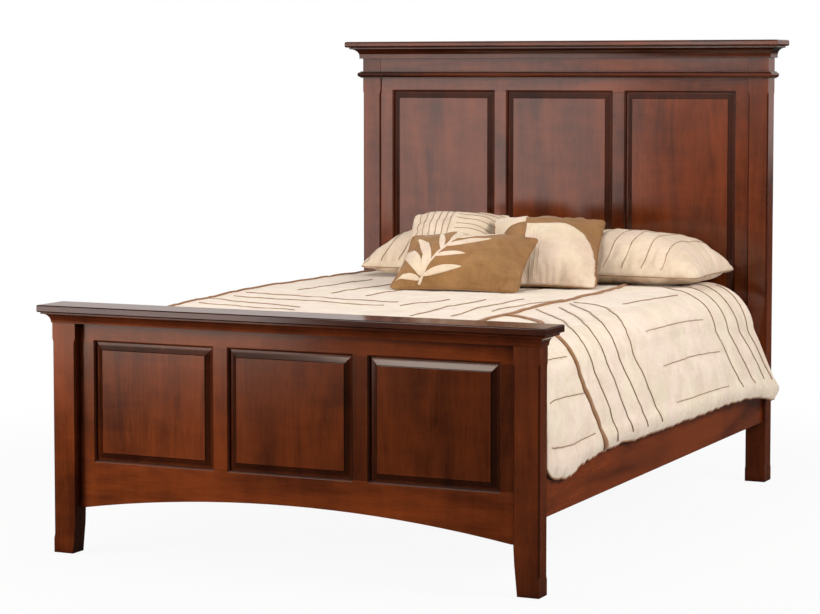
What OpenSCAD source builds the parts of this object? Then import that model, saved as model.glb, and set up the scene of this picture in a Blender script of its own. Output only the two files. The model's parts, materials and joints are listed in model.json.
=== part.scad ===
// Panel bed: a frame-and-panel headboard and footboard joined by two hooked side rails,
// with slats, a centre support, a foundation, a mattress, a quilted comforter and five pillows.
// Lengths are in millimetres. X runs across the bed, Y runs towards the headboard, Z is up.

/* [Mattress and foundation] */
// Width of the mattress and of the foundation
mattress_w = 1524; // [1372:1:1930]
// Length of the mattress and of the foundation
mattress_l = 2032; // [1905:1:2134]
// Height of the mattress
mattress_h = 232; // [180:1:240]
// Rounding of the mattress edges
mattress_ease = 40; // [15:1:60]
// Radius of the mattress corners seen from above
mattress_corner_r = 76; // [62:1:100]
// Height of the foundation
foundation_h = 150; // [130:1:165]
// Gap between the mattress and each side rail
side_gap = 8; // [3:0.5:20]
// Gap between the mattress and the foot posts
foot_gap = 10; // [5:0.5:30]
// Gap between the mattress and the head posts
head_gap = 68; // [30:1:120]

/* [Posts] */
// Height of the footboard's top above the mattress
foot_rise = 98; // [88:1:160]
// Height of the headboard, to the top of its crown
head_h = 1595; // [1450:1:1700]
// Width of a foot post
foot_post_w = 81; // [72:1:95]
// Depth of a foot post
foot_post_d = 60; // [58:1:80]
// Width of a head post
head_post_w = 74; // [68:1:95]
// Depth of a head post
head_post_d = 76; // [50:1:95]
// Size of the stopped chamfers on the posts
post_chamfer = 5; // [2:0.5:8]
// Distance from the floor and from the mouldings to a chamfer's end
chamfer_stop = 48; // [30:1:80]
// How much the inner face of a foot leg tapers in at the floor
leg_taper = 14; // [4:1:22]
// Thickness of the plastic glide under each post
post_glide_t = 3; // [2:0.5:6]

/* [Foot cap and head crown] */
// Thickness of the foot cap
cap_t = 22; // [16:1:30]
// Overhang of the foot cap at the sides
cap_side = 32; // [30:1:50]
// Overhang of the foot cap in front
cap_front = 38; // [30:1:60]
// Overhang of the foot cap at the back
cap_back = 47; // [30:1:60]
// Height of the cove moulding under the foot cap
cap_cove_h = 34; // [24:1:44]
// Projection of the cove moulding under the foot cap
cap_cove_p = 26; // [14:1:29]
// Thickness of the crown board
crown_t = 22; // [16:1:30]
// Overhang of the crown board at the sides
crown_side = 50; // [42:1:70]
// Overhang of the crown board in front
crown_front = 60; // [42:1:80]
// Overhang of the crown board at the back
crown_back = 12; // [0:1:30]
// Height of the cove moulding under the crown
crown_cove_h = 42; // [34:1:52]
// Projection of the cove moulding under the crown
crown_cove_p = 40; // [24:1:41]
// Height of the bead moulding below the frieze
bead_h = 25; // [18:1:32]
// Projection of the bead moulding
bead_p = 17; // [10:1:24]
// Distance from the top of the crown to the middle of the bead
bead_drop = 125; // [105:1:150]

/* [Footboard panels] */
// Distance from the front of the posts to the face of the footboard frame
foot_recess = 28; // [20:1:32]
// Thickness of the footboard and headboard frames
frame_t = 24; // [22:1:26]
// Width of the footboard stiles
foot_stile_w = 56; // [40:1:90]
// Width of the footboard mullions
foot_mullion_w = 60; // [40:1:90]
// Height of the footboard top rail
foot_top_rail_h = 91; // [80:1:120]
// Height of the footboard bottom rail at its ends
foot_bottom_rail_h = 149; // [140:1:175]
// Height of the arch ends above the floor
arch_end_z = 145; // [125:1:150]
// Rise of the arch
arch_rise = 57; // [20:1:60]
// Length of the flat at each end of the arch
arch_flat = 16; // [5:1:60]

/* [Headboard panels] */
// Distance from the front of the posts to the face of the headboard frame
head_recess = 6; // [2:1:20]
// Distance from the front of the posts to the face of the frieze
frieze_recess = 1.5; // [0.5:0.5:1.5]
// Width of the headboard stiles
head_stile_w = 54; // [40:1:90]
// Width of the headboard mullions
head_mullion_w = 58; // [40:1:90]
// Height of the headboard top rail below the middle of the bead
head_top_rail_h = 64; // [50:1:90]
// Height of the underside of the headboard bottom rail above the floor
head_bottom_rail_z = 440; // [400:1:480]
// Height of the headboard bottom rail
head_bottom_rail_h = 160; // [100:1:200]
// Height of the head stretcher that carries the centre beam
stretcher_h = 100; // [90:1:150]

/* [Panel joinery] */
// Width of the bevel around a raised panel
bevel_w = 22; // [12:1:32]
// Width of the moulded edge around each panel opening
sticking_w = 6.5; // [4:0.5:9]
// Depth of the grooves that hold the panels
groove_d = 9; // [7:0.5:12]
// Thickness of the panel tongues
tongue_t = 6; // [5:0.5:8]
// Clearance of tongues and tenons in their grooves and mortises
joint_gap = 0.2; // [0.1:0.05:0.4]
// Length of the rail tenons in the posts
tenon_l = 22; // [15:1:30]
// Thickness of the rail tenons
tenon_t = 10; // [8:1:12]

/* [Side rails and slats] */
// Thickness of a side rail
rail_t = 25; // [22:1:30]
// Height of a side rail
rail_h = 195; // [180:1:215]
// Height of the underside of a side rail above the floor
rail_z = 222; // [200:1:230]
// Distance from the outer face of the posts to the outer face of a side rail
rail_inset = 10; // [5:1:20]
// Width of a ledger cleat
cleat_w = 32; // [26:1:40]
// Height of a ledger cleat
cleat_h = 38; // [32:1:48]
// Distance from the underside of a side rail to the underside of its cleat
cleat_rise = 11; // [2:1:20]
// Distance from the posts to the end of a cleat
cleat_end_gap = 20; // [5:1:60]
// Number of slats
slat_n = 12; // [8:1:16]
// Width of a slat
slat_w = 90; // [60:1:110]
// Thickness of a slat
slat_t = 19; // [15:1:25]
// Distance from the ends of the foundation to the first and last slat
slat_margin = 25; // [5:1:60]

/* [Centre support] */
// Width of the centre beam and of its legs
beam_w = 38; // [30:1:50]
// Height of the centre beam
beam_h = 64; // [40:1:66]
// Thickness of the steel plates and brackets
steel_t = 3; // [2:0.5:4]
// Diameter of the disc of a levelling glide
glide_d = 30; // [20:1:36]
// Height of the disc of a levelling glide
glide_disc_h = 6; // [4:0.5:10]
// Height at which the glides carry a centre leg above their discs
glide_lift = 12; // [4:1:20]

/* [Rail hooks] */
// Height of a hook plate
plate_h = 130; // [120:1:160]
// Width of a hook plate
plate_w = 16; // [14:1:18]
// Distance between the two hooks on a plate
hook_pitch = 56; // [50:1:60]
// Height of one hook
hook_h = 33; // [28:1:36]
// Reach of a hook behind the post plate
hook_reach = 5; // [4:0.5:6]
// Clearance between a hook and the plate that it hangs on
hook_gap = 0.3; // [0.1:0.1:0.5]

/* [Screws] */
// Radius of a screw shank
screw_r = 2.2; // [1.5:0.1:2.5]
// Radius of a screw head
screw_head_r = 4.2; // [3.5:0.1:4.5]
// Clearance of a screw in its hole
screw_gap = 0.1; // [0.05:0.05:0.2]

/* [Comforter] */
// Thickness of the comforter over the mattress
comforter_loft = 65; // [55:1:80]
// How much lower the comforter lies at the foot end than at the head end
comforter_fall = 30; // [0:1:40]
// Thickness of the comforter where it hangs at the sides
drop_t = 26; // [18:1:34]
// Height of the hem above the floor at mid length
hem_z = 362; // [320:1:390]
// Distance that the hem stands off the side rail at the foot end
hem_off_foot = 19; // [16:1:30]
// Distance that the hem stands off the side rail at the head end
hem_off_head = 54; // [30:1:58]
// Distance from the mattress head end to the comforter's edge on top
turn_back = 110; // [60:1:260]
// Radius of the comforter's bend over the edge of the mattress
comforter_edge_r = 112; // [95:1:130]
// Radius of the same bend at the head end
comforter_head_r = 165; // [120:1:175]
// Depth of the quilted channels
channel_depth = 5; // [0:0.5:8]
// Number of quilted channels along the bed
channel_n = 8; // [5:1:8]
// Clearance between soft pieces and what they rest on
soft_gap = 0.3; // [0.2:0.05:0.6]

/* [Pillows] */
// Width of a sleeping pillow
sleeper_w = 645; // [560:1:650]
// Length of a sleeping pillow
sleeper_l = 470; // [420:1:500]
// Thickness of a sleeping pillow
sleeper_t = 170; // [130:1:190]
// Gap between the two sleeping pillows
sleeper_gap = 10; // [2:1:40]
// Gap between the sleeping pillows and the headboard
sleeper_back = 12; // [2:1:40]
// Width of the sham
sham_w = 360; // [320:1:380]
// Length of the sham up its slope
sham_l = 470; // [420:1:490]
// Thickness of the sham
sham_t = 105; // [80:1:120]
// Tilt of the sham in degrees
sham_tilt = 28.5; // [25:0.5:40]
// Turn of the sham about the vertical in degrees
sham_turn = 14; // [0:0.5:18]
// Distance of the sham from the middle of the bed, to the left when negative
sham_x = -150; // [-180:1:-130]
// Side of the square cushion
square_w = 405; // [360:1:430]
// Thickness of the square cushion
square_t = 110; // [80:1:125]
// Tilt of the square cushion in degrees
square_tilt = 33; // [25:0.5:40]
// Turn of the square cushion about the vertical in degrees
square_turn = 15; // [0:0.5:18]
// Distance of the square cushion from the middle of the bed
square_x = 203; // [180:1:230]
// Width of the lumbar cushion
lumbar_w = 455; // [420:1:480]
// Length of the lumbar cushion up its slope
lumbar_l = 310; // [280:1:330]
// Thickness of the lumbar cushion
lumbar_t = 100; // [80:1:120]
// Tilt of the lumbar cushion in degrees
lumbar_tilt = 33; // [26:0.5:42]
// Turn of the lumbar cushion about the vertical in degrees
lumbar_turn = 6; // [0:0.5:12]
// Distance of the lumbar cushion from the middle of the bed
lumbar_x = -20; // [-50:1:10]
// Share by which the sides of a pillow pull in between its corners
pull_in = 0.05; // [0:0.01:0.1]

/* [Hidden] */

wood = "#5b2b1c";
pale_wood = "#c79f6c";
cream = "#efe0c8";
brown = "#a0753f";

// Plan of the frame. The front faces of the foot posts lie at y = 0 before centring.
bed_w = mattress_w + 2 * (side_gap + rail_t + rail_inset);
foot_y = foot_post_d;
head_y = foot_post_d + foot_gap + mattress_l + head_gap;
back_y = head_y + head_post_d + crown_back;
mid_y = (back_y - cap_front) / 2;
half_w = bed_w / 2;
foot_inner = half_w - foot_post_w;
head_inner = half_w - head_post_w;
rail_outer = half_w - rail_inset;
rail_inner = rail_outer - rail_t;
rail_mid_x = rail_outer - rail_t / 2;
mattress_y = foot_y + foot_gap;

// Heights
cleat_z = rail_z + cleat_rise;
slat_z = cleat_z + cleat_h;
foundation_z = slat_z + slat_t;
mattress_z = foundation_z + foundation_h;
mattress_top = mattress_z + mattress_h;
comforter_top = mattress_top + comforter_loft;
foot_h = mattress_top + foot_rise;
cap_z = foot_h - cap_t;
cap_cove_z = cap_z - cap_cove_h;
crown_z = head_h - crown_t;
crown_cove_z = crown_z - crown_cove_h;
bead_z = head_h - bead_drop;
foot_open_z0 = arch_end_z + foot_bottom_rail_h;
foot_open_z1 = cap_z - foot_top_rail_h;
head_open_z0 = head_bottom_rail_z + head_bottom_rail_h;
head_open_z1 = bead_z - head_top_rail_h;
beam_z = slat_z - beam_h;
rail_mid_z = rail_z + rail_h / 2;

// Each board is [face y, half clear width, stile width, mullion width, opening bottom, opening top].
foot_board = [foot_recess, foot_inner, foot_stile_w, foot_mullion_w, foot_open_z0, foot_open_z1];
head_face = head_y + head_recess;
head_board = [head_face, head_inner, head_stile_w, head_mullion_w, head_open_z0, head_open_z1];

function opening_w(b) = (2 * b[1] - 2 * b[2] - 2 * b[3]) / 3;
function opening_x(b, i) = -b[1] + b[2] + i * (opening_w(b) + b[3]);

// The tongue lies this far behind the face of its frame.
tongue_y = (frame_t - tongue_t) / 2 + 1;
stub_l = 10;
stub_inset = 12;
tenon_y = (frame_t - tenon_t) / 2;
tenon_inset = 10;
round_fn = 24;
eps = 1;

module block(x, y, z) {
    translate([x[0], y[0], z[0]])
        cube([x[1] - x[0], y[1] - y[0], z[1] - z[0]]);
}

// A closed solid through rectangular rings [x0, x1, y0, y1, z] in rising order of z.
module ring_stack(rings) {
    n = len(rings);
    points = [for (r = rings) for (c = [[0, 2], [1, 2], [1, 3], [0, 3]]) [r[c[0]], r[c[1]], r[4]]];
    sides = [for (k = [0:n - 2]) for (i = [0:3])
        let (a = 4 * k + i, b = 4 * k + (i + 1) % 4) each [[a, a + 4, b + 4], [a, b + 4, b]]];
    top = 4 * (n - 1);
    ends = [[0, 1, 2], [0, 2, 3], [top, top + 2, top + 1], [top, top + 3, top + 2]];
    polyhedron(points, concat(ends, sides));
}

// The same through rings [x0, x1, z0, z1, y] in rising order of y.
module depth_stack(rings) {
    n = len(rings);
    rotate([90, 0, 0])
        ring_stack([for (k = [n - 1:-1:0]) let (r = rings[k]) [r[0], r[1], r[2], r[3], -r[4]]]);
}

// A board whose edges are eased with radius r.
module eased_board(x, y, z, r) {
    steps = [0, 30, 60, 90];
    low = [for (a = steps) [r * (1 - sin(a)), z[0] + r * (1 - cos(a))]];
    high = [for (k = [3:-1:0]) [r * (1 - sin(steps[k])), z[1] - r * (1 - cos(steps[k]))]];
    ring_stack([for (p = concat(low, high)) [x[0] + p[0], x[1] - p[0], y[0] + p[0], y[1] - p[0], p[1]]]);
}

// Countersunk screw along -Z with the top of its head at the origin, or its hole when gap is given.
module screw(length, gap = 0) {
    r = screw_r + gap;
    head = screw_head_r + gap;
    head_h = screw_head_r - screw_r;
    tip = length + gap;
    rotate_extrude($fn = round_fn)
        polygon([[0, 0], [head, 0], [r, -head_h], [r, -tip + r], [0, -tip]]);
}

// Cutter for a stopped chamfer on the corner x = 0, y = 0 of a solid that fills x < 0, y < 0.
module stopped_chamfer(z0, z1) {
    run = 3 * post_chamfer;
    rise = [for (k = [0:4]) [run * k / 4, post_chamfer * sin(90 * k / 4)]];
    low = [for (s = rise) [z0 + s[0], s[1]]];
    high = [for (k = [4:-1:0]) [z1 - rise[k][0], rise[k][1]]];
    stations = concat(low, high);
    n = len(stations);
    points = [for (s = stations) each [[eps, eps, s[0]], [-s[1] - eps, eps, s[0]], [eps, -s[1] - eps, s[0]]]];
    sides = [for (k = [0:n - 2]) for (i = [0:2])
        let (a = 3 * k + i, b = 3 * k + (i + 1) % 3) each [[a, a + 3, b + 3], [a, b + 3, b]]];
    top = 3 * (n - 1);
    polyhedron(points, concat([[0, 1, 2], [top, top + 2, top + 1]], sides));
}

// Chamfers on the four corners of a post that fills x, y.
module post_chamfers(x, y, z0, z1) {
    for (i = [0, 1])
        for (j = [0, 1])
            translate([x[i], y[j], 0])
                mirror([1 - i, 0, 0])
                    mirror([0, 1 - j, 0])
                        stopped_chamfer(z0, z1);
}

// Hole for the tenon of a member that fills z, cut into the post at inner face x.
module mortise(x, y_face, z) {
    block([x - eps, x + tenon_l + joint_gap],
          [y_face + tenon_y - joint_gap, y_face + tenon_y + tenon_t + joint_gap],
          [z[0] + tenon_inset - joint_gap, z[1] - tenon_inset + joint_gap]);
}

// Moulded edge around one opening, cut into the face of the frame.
module sticking(x, z, y_face) {
    steps = [[1, -eps], [1, 0.18], [0.8, 0.23], [0.52, 0.37], [0.25, 0.62], [0.06, 0.95], [0, 1.15]];
    depth_stack([for (s = steps)
        let (o = s[0] * sticking_w, y = y_face + (s[1] < 0 ? s[1] : s[1] * sticking_w))
            [x[0] - o, x[1] + o, z[0] - o, z[1] + o, y]]);
}

// Everything that the three openings of a board cut from its frame.
module board_cuts(b) {
    for (i = [0:2]) {
        x = [opening_x(b, i), opening_x(b, i) + opening_w(b)];
        z = [b[4], b[5]];
        sticking(x, z, b[0]);
        block([x[0] - groove_d, x[1] + groove_d],
              [b[0] + tongue_y - joint_gap, b[0] + tongue_y + tongue_t + joint_gap],
              [z[0] - groove_d, z[1] + groove_d]);
    }
}

// Upright between the rails of a board, with a stub tenon at each end.
module board_upright(b, x) {
    color(wood)
        difference() {
            union() {
                block(x, [b[0], b[0] + frame_t], [b[4], b[5]]);
                block([x[0] + stub_inset, x[1] - stub_inset],
                      [b[0] + tongue_y, b[0] + tongue_y + tongue_t],
                      [b[4] - stub_l, b[5] + stub_l]);
            }
            board_cuts(b);
        }
}

module board_stile(b, side) {
    mirror([side < 0 ? 0 : 1, 0, 0])
        board_upright(b, [-b[1], -b[1] + b[2]]);
}

module board_mullion(b, side) {
    x0 = opening_x(b, 0) + opening_w(b);
    mirror([side < 0 ? 0 : 1, 0, 0])
        board_upright(b, [x0, x0 + b[3]]);
}

// Mortises for the stub tenons of all four uprights, at height z of an opening's edge.
module upright_mortises(b, z) {
    w = opening_w(b);
    spans = [
        [-b[1], -b[1] + b[2]],
        [opening_x(b, 0) + w, opening_x(b, 1)],
        [opening_x(b, 1) + w, opening_x(b, 2)],
        [b[1] - b[2], b[1]]
    ];
    for (s = spans)
        block([s[0] + stub_inset - joint_gap, s[1] - stub_inset + joint_gap],
              [b[0] + tongue_y - joint_gap, b[0] + tongue_y + tongue_t + joint_gap],
              [z - stub_l - joint_gap, z + stub_l + joint_gap]);
}

// Rail between the posts, with a tenon at each end.
module tenoned_rail(inner, y_face, z) {
    block([-inner, inner], [y_face, y_face + frame_t], z);
    block([-inner - tenon_l, inner + tenon_l],
          [y_face + tenon_y, y_face + tenon_y + tenon_t],
          [z[0] + tenon_inset, z[1] - tenon_inset]);
}

// Raised panel with bevelled edges and a tongue that floats in the grooves.
module board_panel(b, i) {
    tongue = groove_d - 1;
    x0 = opening_x(b, i) - tongue;
    x1 = opening_x(b, i) + opening_w(b) + tongue;
    back = b[0] + tongue_y + tongue_t;
    face = b[0] + tongue_y;
    field = b[0] + 1;
    shoulder = 1.8;
    bevel_low = face - joint_gap;
    bevel_high = field + shoulder;
    sag = (bevel_low - bevel_high) * 0.62 + bevel_high;
    rings = [
        [tongue + bevel_w + 1.6, field],
        [tongue + bevel_w + 0.8, bevel_high],
        [tongue + bevel_w / 2, sag],
        [tongue + 1, bevel_low],
        [tongue - 0.6, face],
        [0, face],
        [0, back]
    ];
    color(wood)
        depth_stack([for (r = rings)
            [x0 + r[0], x1 - r[0], b[4] - tongue + r[0], b[5] + tongue - r[0], r[1]]]);
}

// Footboard
foot_rail_spans = [[arch_end_z, foot_open_z0], [foot_open_z1, cap_z]];

module foot_post(side) {
    x = [foot_inner, half_w];
    color(wood)
        mirror([side < 0 ? 1 : 0, 0, 0])
            difference() {
                block(x, [0, foot_post_d], [post_glide_t, cap_z]);
                translate([0, -eps, 0])
                    rotate([90, 0, 0])
                        mirror([0, 0, 1])
                            linear_extrude(foot_post_d + 2 * eps)
                                polygon([[foot_inner - eps, -eps], [foot_inner + leg_taper, -eps],
                                         [foot_inner + leg_taper, 0], [foot_inner, arch_end_z],
                                         [foot_inner - eps, arch_end_z]]);
                post_chamfers(x, [0, foot_post_d], chamfer_stop, cap_cove_z - chamfer_stop);
                for (z = foot_rail_spans)
                    mortise(foot_inner, foot_recess, z);
                translate([rail_mid_x, foot_y, rail_mid_z])
                    mirror([0, 1, 0])
                        post_plate_cuts();
                post_glide_hole((foot_inner + leg_taper + half_w) / 2, foot_post_d / 2);
            }
}

module foot_cap() {
    color(wood)
        eased_board([-half_w - cap_side, half_w + cap_side], [-cap_front, foot_post_d + cap_back],
                    [cap_z, foot_h], 3.5);
}

// Profile [projection, height] of a fillet over a cove over a lower band, from the bottom up.
function cove_profile(h, p, band_h, band_p) =
    let (fillet = 6, reveal = 2, rise = h - fillet - band_h, run = p - reveal - band_p)
    concat([[band_p, 0], [band_p, band_h]],
           [for (a = [15:15:90]) [band_p + run * (1 - cos(a)), band_h + rise * sin(a)]],
           [[p, h - fillet], [p, h]]);

module foot_cap_moulding() {
    color(wood)
        difference() {
            ring_stack([for (s = cove_profile(cap_cove_h, cap_cove_p, 2, 3))
                [-half_w - s[0], half_w + s[0], -s[0], foot_post_d + s[0], cap_cove_z + s[1]]]);
            for (side = [0, 1])
                mirror([side, 0, 0])
                    block([foot_inner, half_w], [0, foot_post_d], [cap_cove_z - eps, cap_z + eps]);
            block([-foot_inner - eps, foot_inner + eps], [foot_recess, foot_recess + frame_t],
                  [cap_cove_z - eps, cap_z + eps]);
        }
}

module foot_top_rail() {
    color(wood)
        difference() {
            tenoned_rail(foot_inner, foot_recess, foot_rail_spans[1]);
            board_cuts(foot_board);
            upright_mortises(foot_board, foot_open_z1);
        }
}

module foot_arched_rail() {
    half_chord = foot_inner - arch_flat;
    arch_r = (pow(half_chord, 2) + pow(arch_rise, 2)) / (2 * arch_rise);
    color(wood)
        difference() {
            tenoned_rail(foot_inner, foot_recess, foot_rail_spans[0]);
            board_cuts(foot_board);
            upright_mortises(foot_board, foot_open_z0);
            translate([0, foot_recess - eps, arch_end_z + arch_rise - arch_r])
                rotate([-90, 0, 0])
                    cylinder(r = arch_r, h = frame_t + 2 * eps, $fn = 720);
            translate([0, foot_recess + frame_t, 0])
                bracket_screw_holes();
        }
}

// Headboard
frieze_span = [bead_z, crown_z];
head_rail_spans = [
    [rail_z, rail_z + stretcher_h],
    [head_bottom_rail_z, head_open_z0],
    [head_open_z1, bead_z],
    frieze_span
];

module head_post(side) {
    x = [head_inner, half_w];
    y = [head_y, head_y + head_post_d];
    color(wood)
        mirror([side < 0 ? 1 : 0, 0, 0])
            difference() {
                block(x, y, [post_glide_t, crown_z]);
                post_chamfers(x, y, chamfer_stop, bead_z - bead_h / 2 - chamfer_stop);
                for (z = head_rail_spans)
                    mortise(head_inner, head_face, z);
                translate([rail_mid_x, head_y, rail_mid_z])
                    post_plate_cuts();
                post_glide_hole((head_inner + half_w) / 2, head_y + head_post_d / 2);
            }
}

module head_crown() {
    color(wood)
        eased_board([-half_w - crown_side, half_w + crown_side],
                    [head_y - crown_front, back_y], [crown_z, head_h], 6);
}

// Moulding around the front and the sides of the headboard, from rings of [projection, height].
module head_moulding(profile, z0, h) {
    color(wood)
        difference() {
            ring_stack([for (s = profile)
                [-half_w - s[0], half_w + s[0], head_y - s[0], head_y + head_post_d, z0 + s[1]]]);
            for (side = [0, 1])
                mirror([side, 0, 0])
                    block([head_inner, half_w], [head_y, head_y + head_post_d + eps],
                          [z0 - eps, z0 + h + eps]);
            block([-head_inner - eps, head_inner + eps],
                  [head_y + frieze_recess, head_y + head_post_d + eps], [z0 - eps, z0 + h + eps]);
        }
}

module head_crown_moulding() {
    head_moulding(cove_profile(crown_cove_h, crown_cove_p, 10, 11), crown_cove_z, crown_cove_h);
}

module head_bead_moulding() {
    fillet = 3;
    fillet_p = bead_p * 0.45;
    r_z = bead_h / 2 - fillet;
    bead = concat([[fillet_p, 0], [fillet_p, fillet]],
                  [for (a = [-60:20:60])
                      [fillet_p + (bead_p - fillet_p) * cos(a), bead_h / 2 + r_z * sin(a)]],
                  [[fillet_p, bead_h - fillet], [fillet_p, bead_h]]);
    head_moulding(bead, bead_z - bead_h / 2, bead_h);
}

module head_frieze() {
    color(wood)
        difference() {
            tenoned_rail(head_inner, head_face, frieze_span);
            block([-head_inner - tenon_l - eps, head_inner + tenon_l + eps],
                  [head_face - eps, head_face + frame_t + eps], [crown_z, crown_z + eps]);
        }
    color(wood)
        block([-head_inner, head_inner], [head_y + frieze_recess, head_face], frieze_span);
}

module head_top_rail() {
    color(wood)
        difference() {
            tenoned_rail(head_inner, head_face, head_rail_spans[2]);
            board_cuts(head_board);
            upright_mortises(head_board, head_open_z1);
            block([-head_inner + eps, head_inner - eps], [head_y, head_face], [bead_z - bead_h, bead_z]);
        }
}

module head_bottom_rail() {
    color(wood)
        difference() {
            tenoned_rail(head_inner, head_face, head_rail_spans[1]);
            board_cuts(head_board);
            upright_mortises(head_board, head_open_z0);
        }
}

module head_stretcher() {
    color(wood)
        difference() {
            tenoned_rail(head_inner, head_face, head_rail_spans[0]);
            translate([0, head_face, 0])
                mirror([0, 1, 0])
                    bracket_screw_holes();
        }
}

// Side rails, cleats and slats
cleat_span = [foot_y + cleat_end_gap, head_y - cleat_end_gap];
cleat_screw_n = 6;
cleat_screw_l = 45;
slat_screw_l = 32;
slat_pitch = (mattress_l - 2 * slat_margin - slat_w) / (slat_n - 1);
cleat_screw_inset = 90;
slat_clear = 1.5;

function slat_y(i) = mattress_y + slat_margin + slat_w / 2 + i * slat_pitch;
cleat_screw_pitch = (cleat_span[1] - cleat_span[0] - 2 * cleat_screw_inset) / (cleat_screw_n - 1);
function cleat_screw_y(i) = cleat_span[0] + cleat_screw_inset + i * cleat_screw_pitch;

// Places its children at every cleat screw of one side, with the screw axis along X.
module at_cleat_screws() {
    for (i = [0:cleat_screw_n - 1])
        translate([rail_inner - cleat_w, cleat_screw_y(i), cleat_z + cleat_h / 2])
            rotate([0, -90, 0])
                children();
}

module at_slat_screws() {
    for (i = [0:slat_n - 1])
        translate([rail_inner - cleat_w / 2, slat_y(i), foundation_z])
            children();
}

module side_rail(side) {
    color(wood)
        mirror([side < 0 ? 1 : 0, 0, 0])
            difference() {
                block([rail_inner, rail_outer], [foot_y, head_y], [rail_z, rail_z + rail_h]);
                at_rail_ends()
                    rail_plate_cuts();
                at_cleat_screws()
                    screw(cleat_screw_l, screw_gap);
            }
}

module cleat(side) {
    color(pale_wood)
        mirror([side < 0 ? 1 : 0, 0, 0])
            difference() {
                block([rail_inner - cleat_w, rail_inner], cleat_span, [cleat_z, cleat_z + cleat_h]);
                at_cleat_screws()
                    screw(cleat_screw_l, screw_gap);
                at_slat_screws()
                    screw(slat_screw_l, screw_gap);
            }
}

module cleat_screws() {
    color("silver")
        for (side = [0, 1])
            mirror([side, 0, 0])
                at_cleat_screws()
                    screw(cleat_screw_l);
}

module slats() {
    slat_x = rail_inner - slat_clear;
    color(pale_wood)
        for (i = [0:slat_n - 1])
            difference() {
                block([-slat_x, slat_x], [slat_y(i) - slat_w / 2, slat_y(i) + slat_w / 2],
                      [slat_z, foundation_z]);
                for (side = [-1, 1])
                    translate([side * (rail_inner - cleat_w / 2), slat_y(i), foundation_z])
                        screw(slat_screw_l, screw_gap);
            }
}

module slat_screws() {
    color("silver")
        for (side = [0, 1])
            mirror([side, 0, 0])
                at_slat_screws()
                    screw(slat_screw_l);
}

// Rail hooks. Each joint is drawn with its face at y = 0, the rail at y < 0 and the post at y > 0.
plate_screw_z = plate_h / 2 - 9;
rail_screw_l = 34;
post_screw_l = 26;
slot_gap = 0.7;
pocket_gap = 2;
hook_t = 3;
slot_h = hook_h + 4;

module at_rail_ends() {
    translate([rail_mid_x, foot_y, rail_mid_z])
        mirror([0, 1, 0])
            children();
    translate([rail_mid_x, head_y, rail_mid_z])
        children();
}

module plate(y, gap) {
    block([-plate_w / 2 - gap, plate_w / 2 + gap], y, [-plate_h / 2 - gap, plate_h / 2 + gap]);
}

// Screws of the plate on the rail point into the rail, those of the post plate into the post.
module rail_plate_screw_set(gap = 0) {
    for (z = [-plate_screw_z, plate_screw_z])
        translate([0, 0, z])
            rotate([-90, 0, 0])
                screw(rail_screw_l, gap);
}

module post_plate_screw_set(gap = 0) {
    for (z = [-plate_screw_z, plate_screw_z])
        translate([0, 0, z])
            rotate([90, 0, 0])
                screw(post_screw_l, gap);
}

module rail_plate_cuts() {
    plate([-steel_t, eps], 0);
    rail_plate_screw_set(screw_gap);
}

module post_plate_cuts() {
    depth = steel_t + hook_gap + hook_reach + pocket_gap;
    plate([-eps, steel_t], 0);
    block([-hook_t / 2 - pocket_gap, hook_t / 2 + pocket_gap], [0, depth],
          [-hook_pitch / 2 - hook_h / 2 - pocket_gap, hook_pitch / 2 + hook_h / 2 + pocket_gap]);
    post_plate_screw_set(screw_gap);
}

// Hook in side view: its neck passes the slot and its nose hangs down behind the post plate.
module hook() {
    neck = hook_h / 3;
    behind = steel_t + hook_gap;
    rotate([90, 0, 90])
        translate([0, 0, -hook_t / 2])
            linear_extrude(hook_t)
                polygon([[-steel_t / 2, hook_h / 2], [behind + hook_reach, hook_h / 2],
                         [behind + hook_reach, -hook_h / 2 + 3], [behind + hook_reach - 2, -hook_h / 2],
                         [behind, -hook_h / 2], [behind, hook_h / 2 - neck],
                         [-steel_t / 2, hook_h / 2 - neck]]);
}

module rail_hook_plates() {
    color("dimgray")
        for (side = [0, 1])
            mirror([side, 0, 0])
                at_rail_ends()
                    difference() {
                        union() {
                            plate([-steel_t, 0], 0);
                            for (z = [-hook_pitch / 2, hook_pitch / 2])
                                translate([0, 0, z])
                                    hook();
                        }
                        rail_plate_screw_set(screw_gap);
                    }
}

module rail_plate_screws() {
    color("silver")
        for (side = [0, 1])
            mirror([side, 0, 0])
                at_rail_ends()
                    rail_plate_screw_set();
}

module post_slot_plates() {
    color("dimgray")
        for (side = [0, 1])
            mirror([side, 0, 0])
                at_rail_ends()
                    difference() {
                        plate([0, steel_t], 0);
                        for (z = [-hook_pitch / 2, hook_pitch / 2])
                            block([-hook_t / 2 - slot_gap, hook_t / 2 + slot_gap], [-eps, steel_t + eps],
                                  [z - slot_h / 2, z + slot_h / 2]);
                        post_plate_screw_set(screw_gap);
                    }
}

module post_plate_screws() {
    color("silver")
        for (side = [0, 1])
            mirror([side, 0, 0])
                at_rail_ends()
                    post_plate_screw_set();
}

// Centre support
beam_y = [foot_recess + frame_t + steel_t, head_face - steel_t];
bracket_lip = 34;
bracket_wing = 14;
bracket_screw_x = beam_w / 2 + steel_t + bracket_wing / 2;
bracket_screw_l = 18;
bolt_r = 4;
bolt_l = 70;
bolt_gap = 0.1;
glide_stem_l = 40;
leg_z = glide_disc_h + glide_lift;

leg_y = (beam_y[0] + beam_y[1]) / 2;

module bracket_screw_set(gap = 0) {
    for (side = [-1, 1])
        translate([side * bracket_screw_x, steel_t, beam_z + beam_h / 2])
            rotate([-90, 0, 0])
                screw(bracket_screw_l, gap);
}

module bracket_screw_holes() {
    bracket_screw_set(screw_gap);
}

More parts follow.
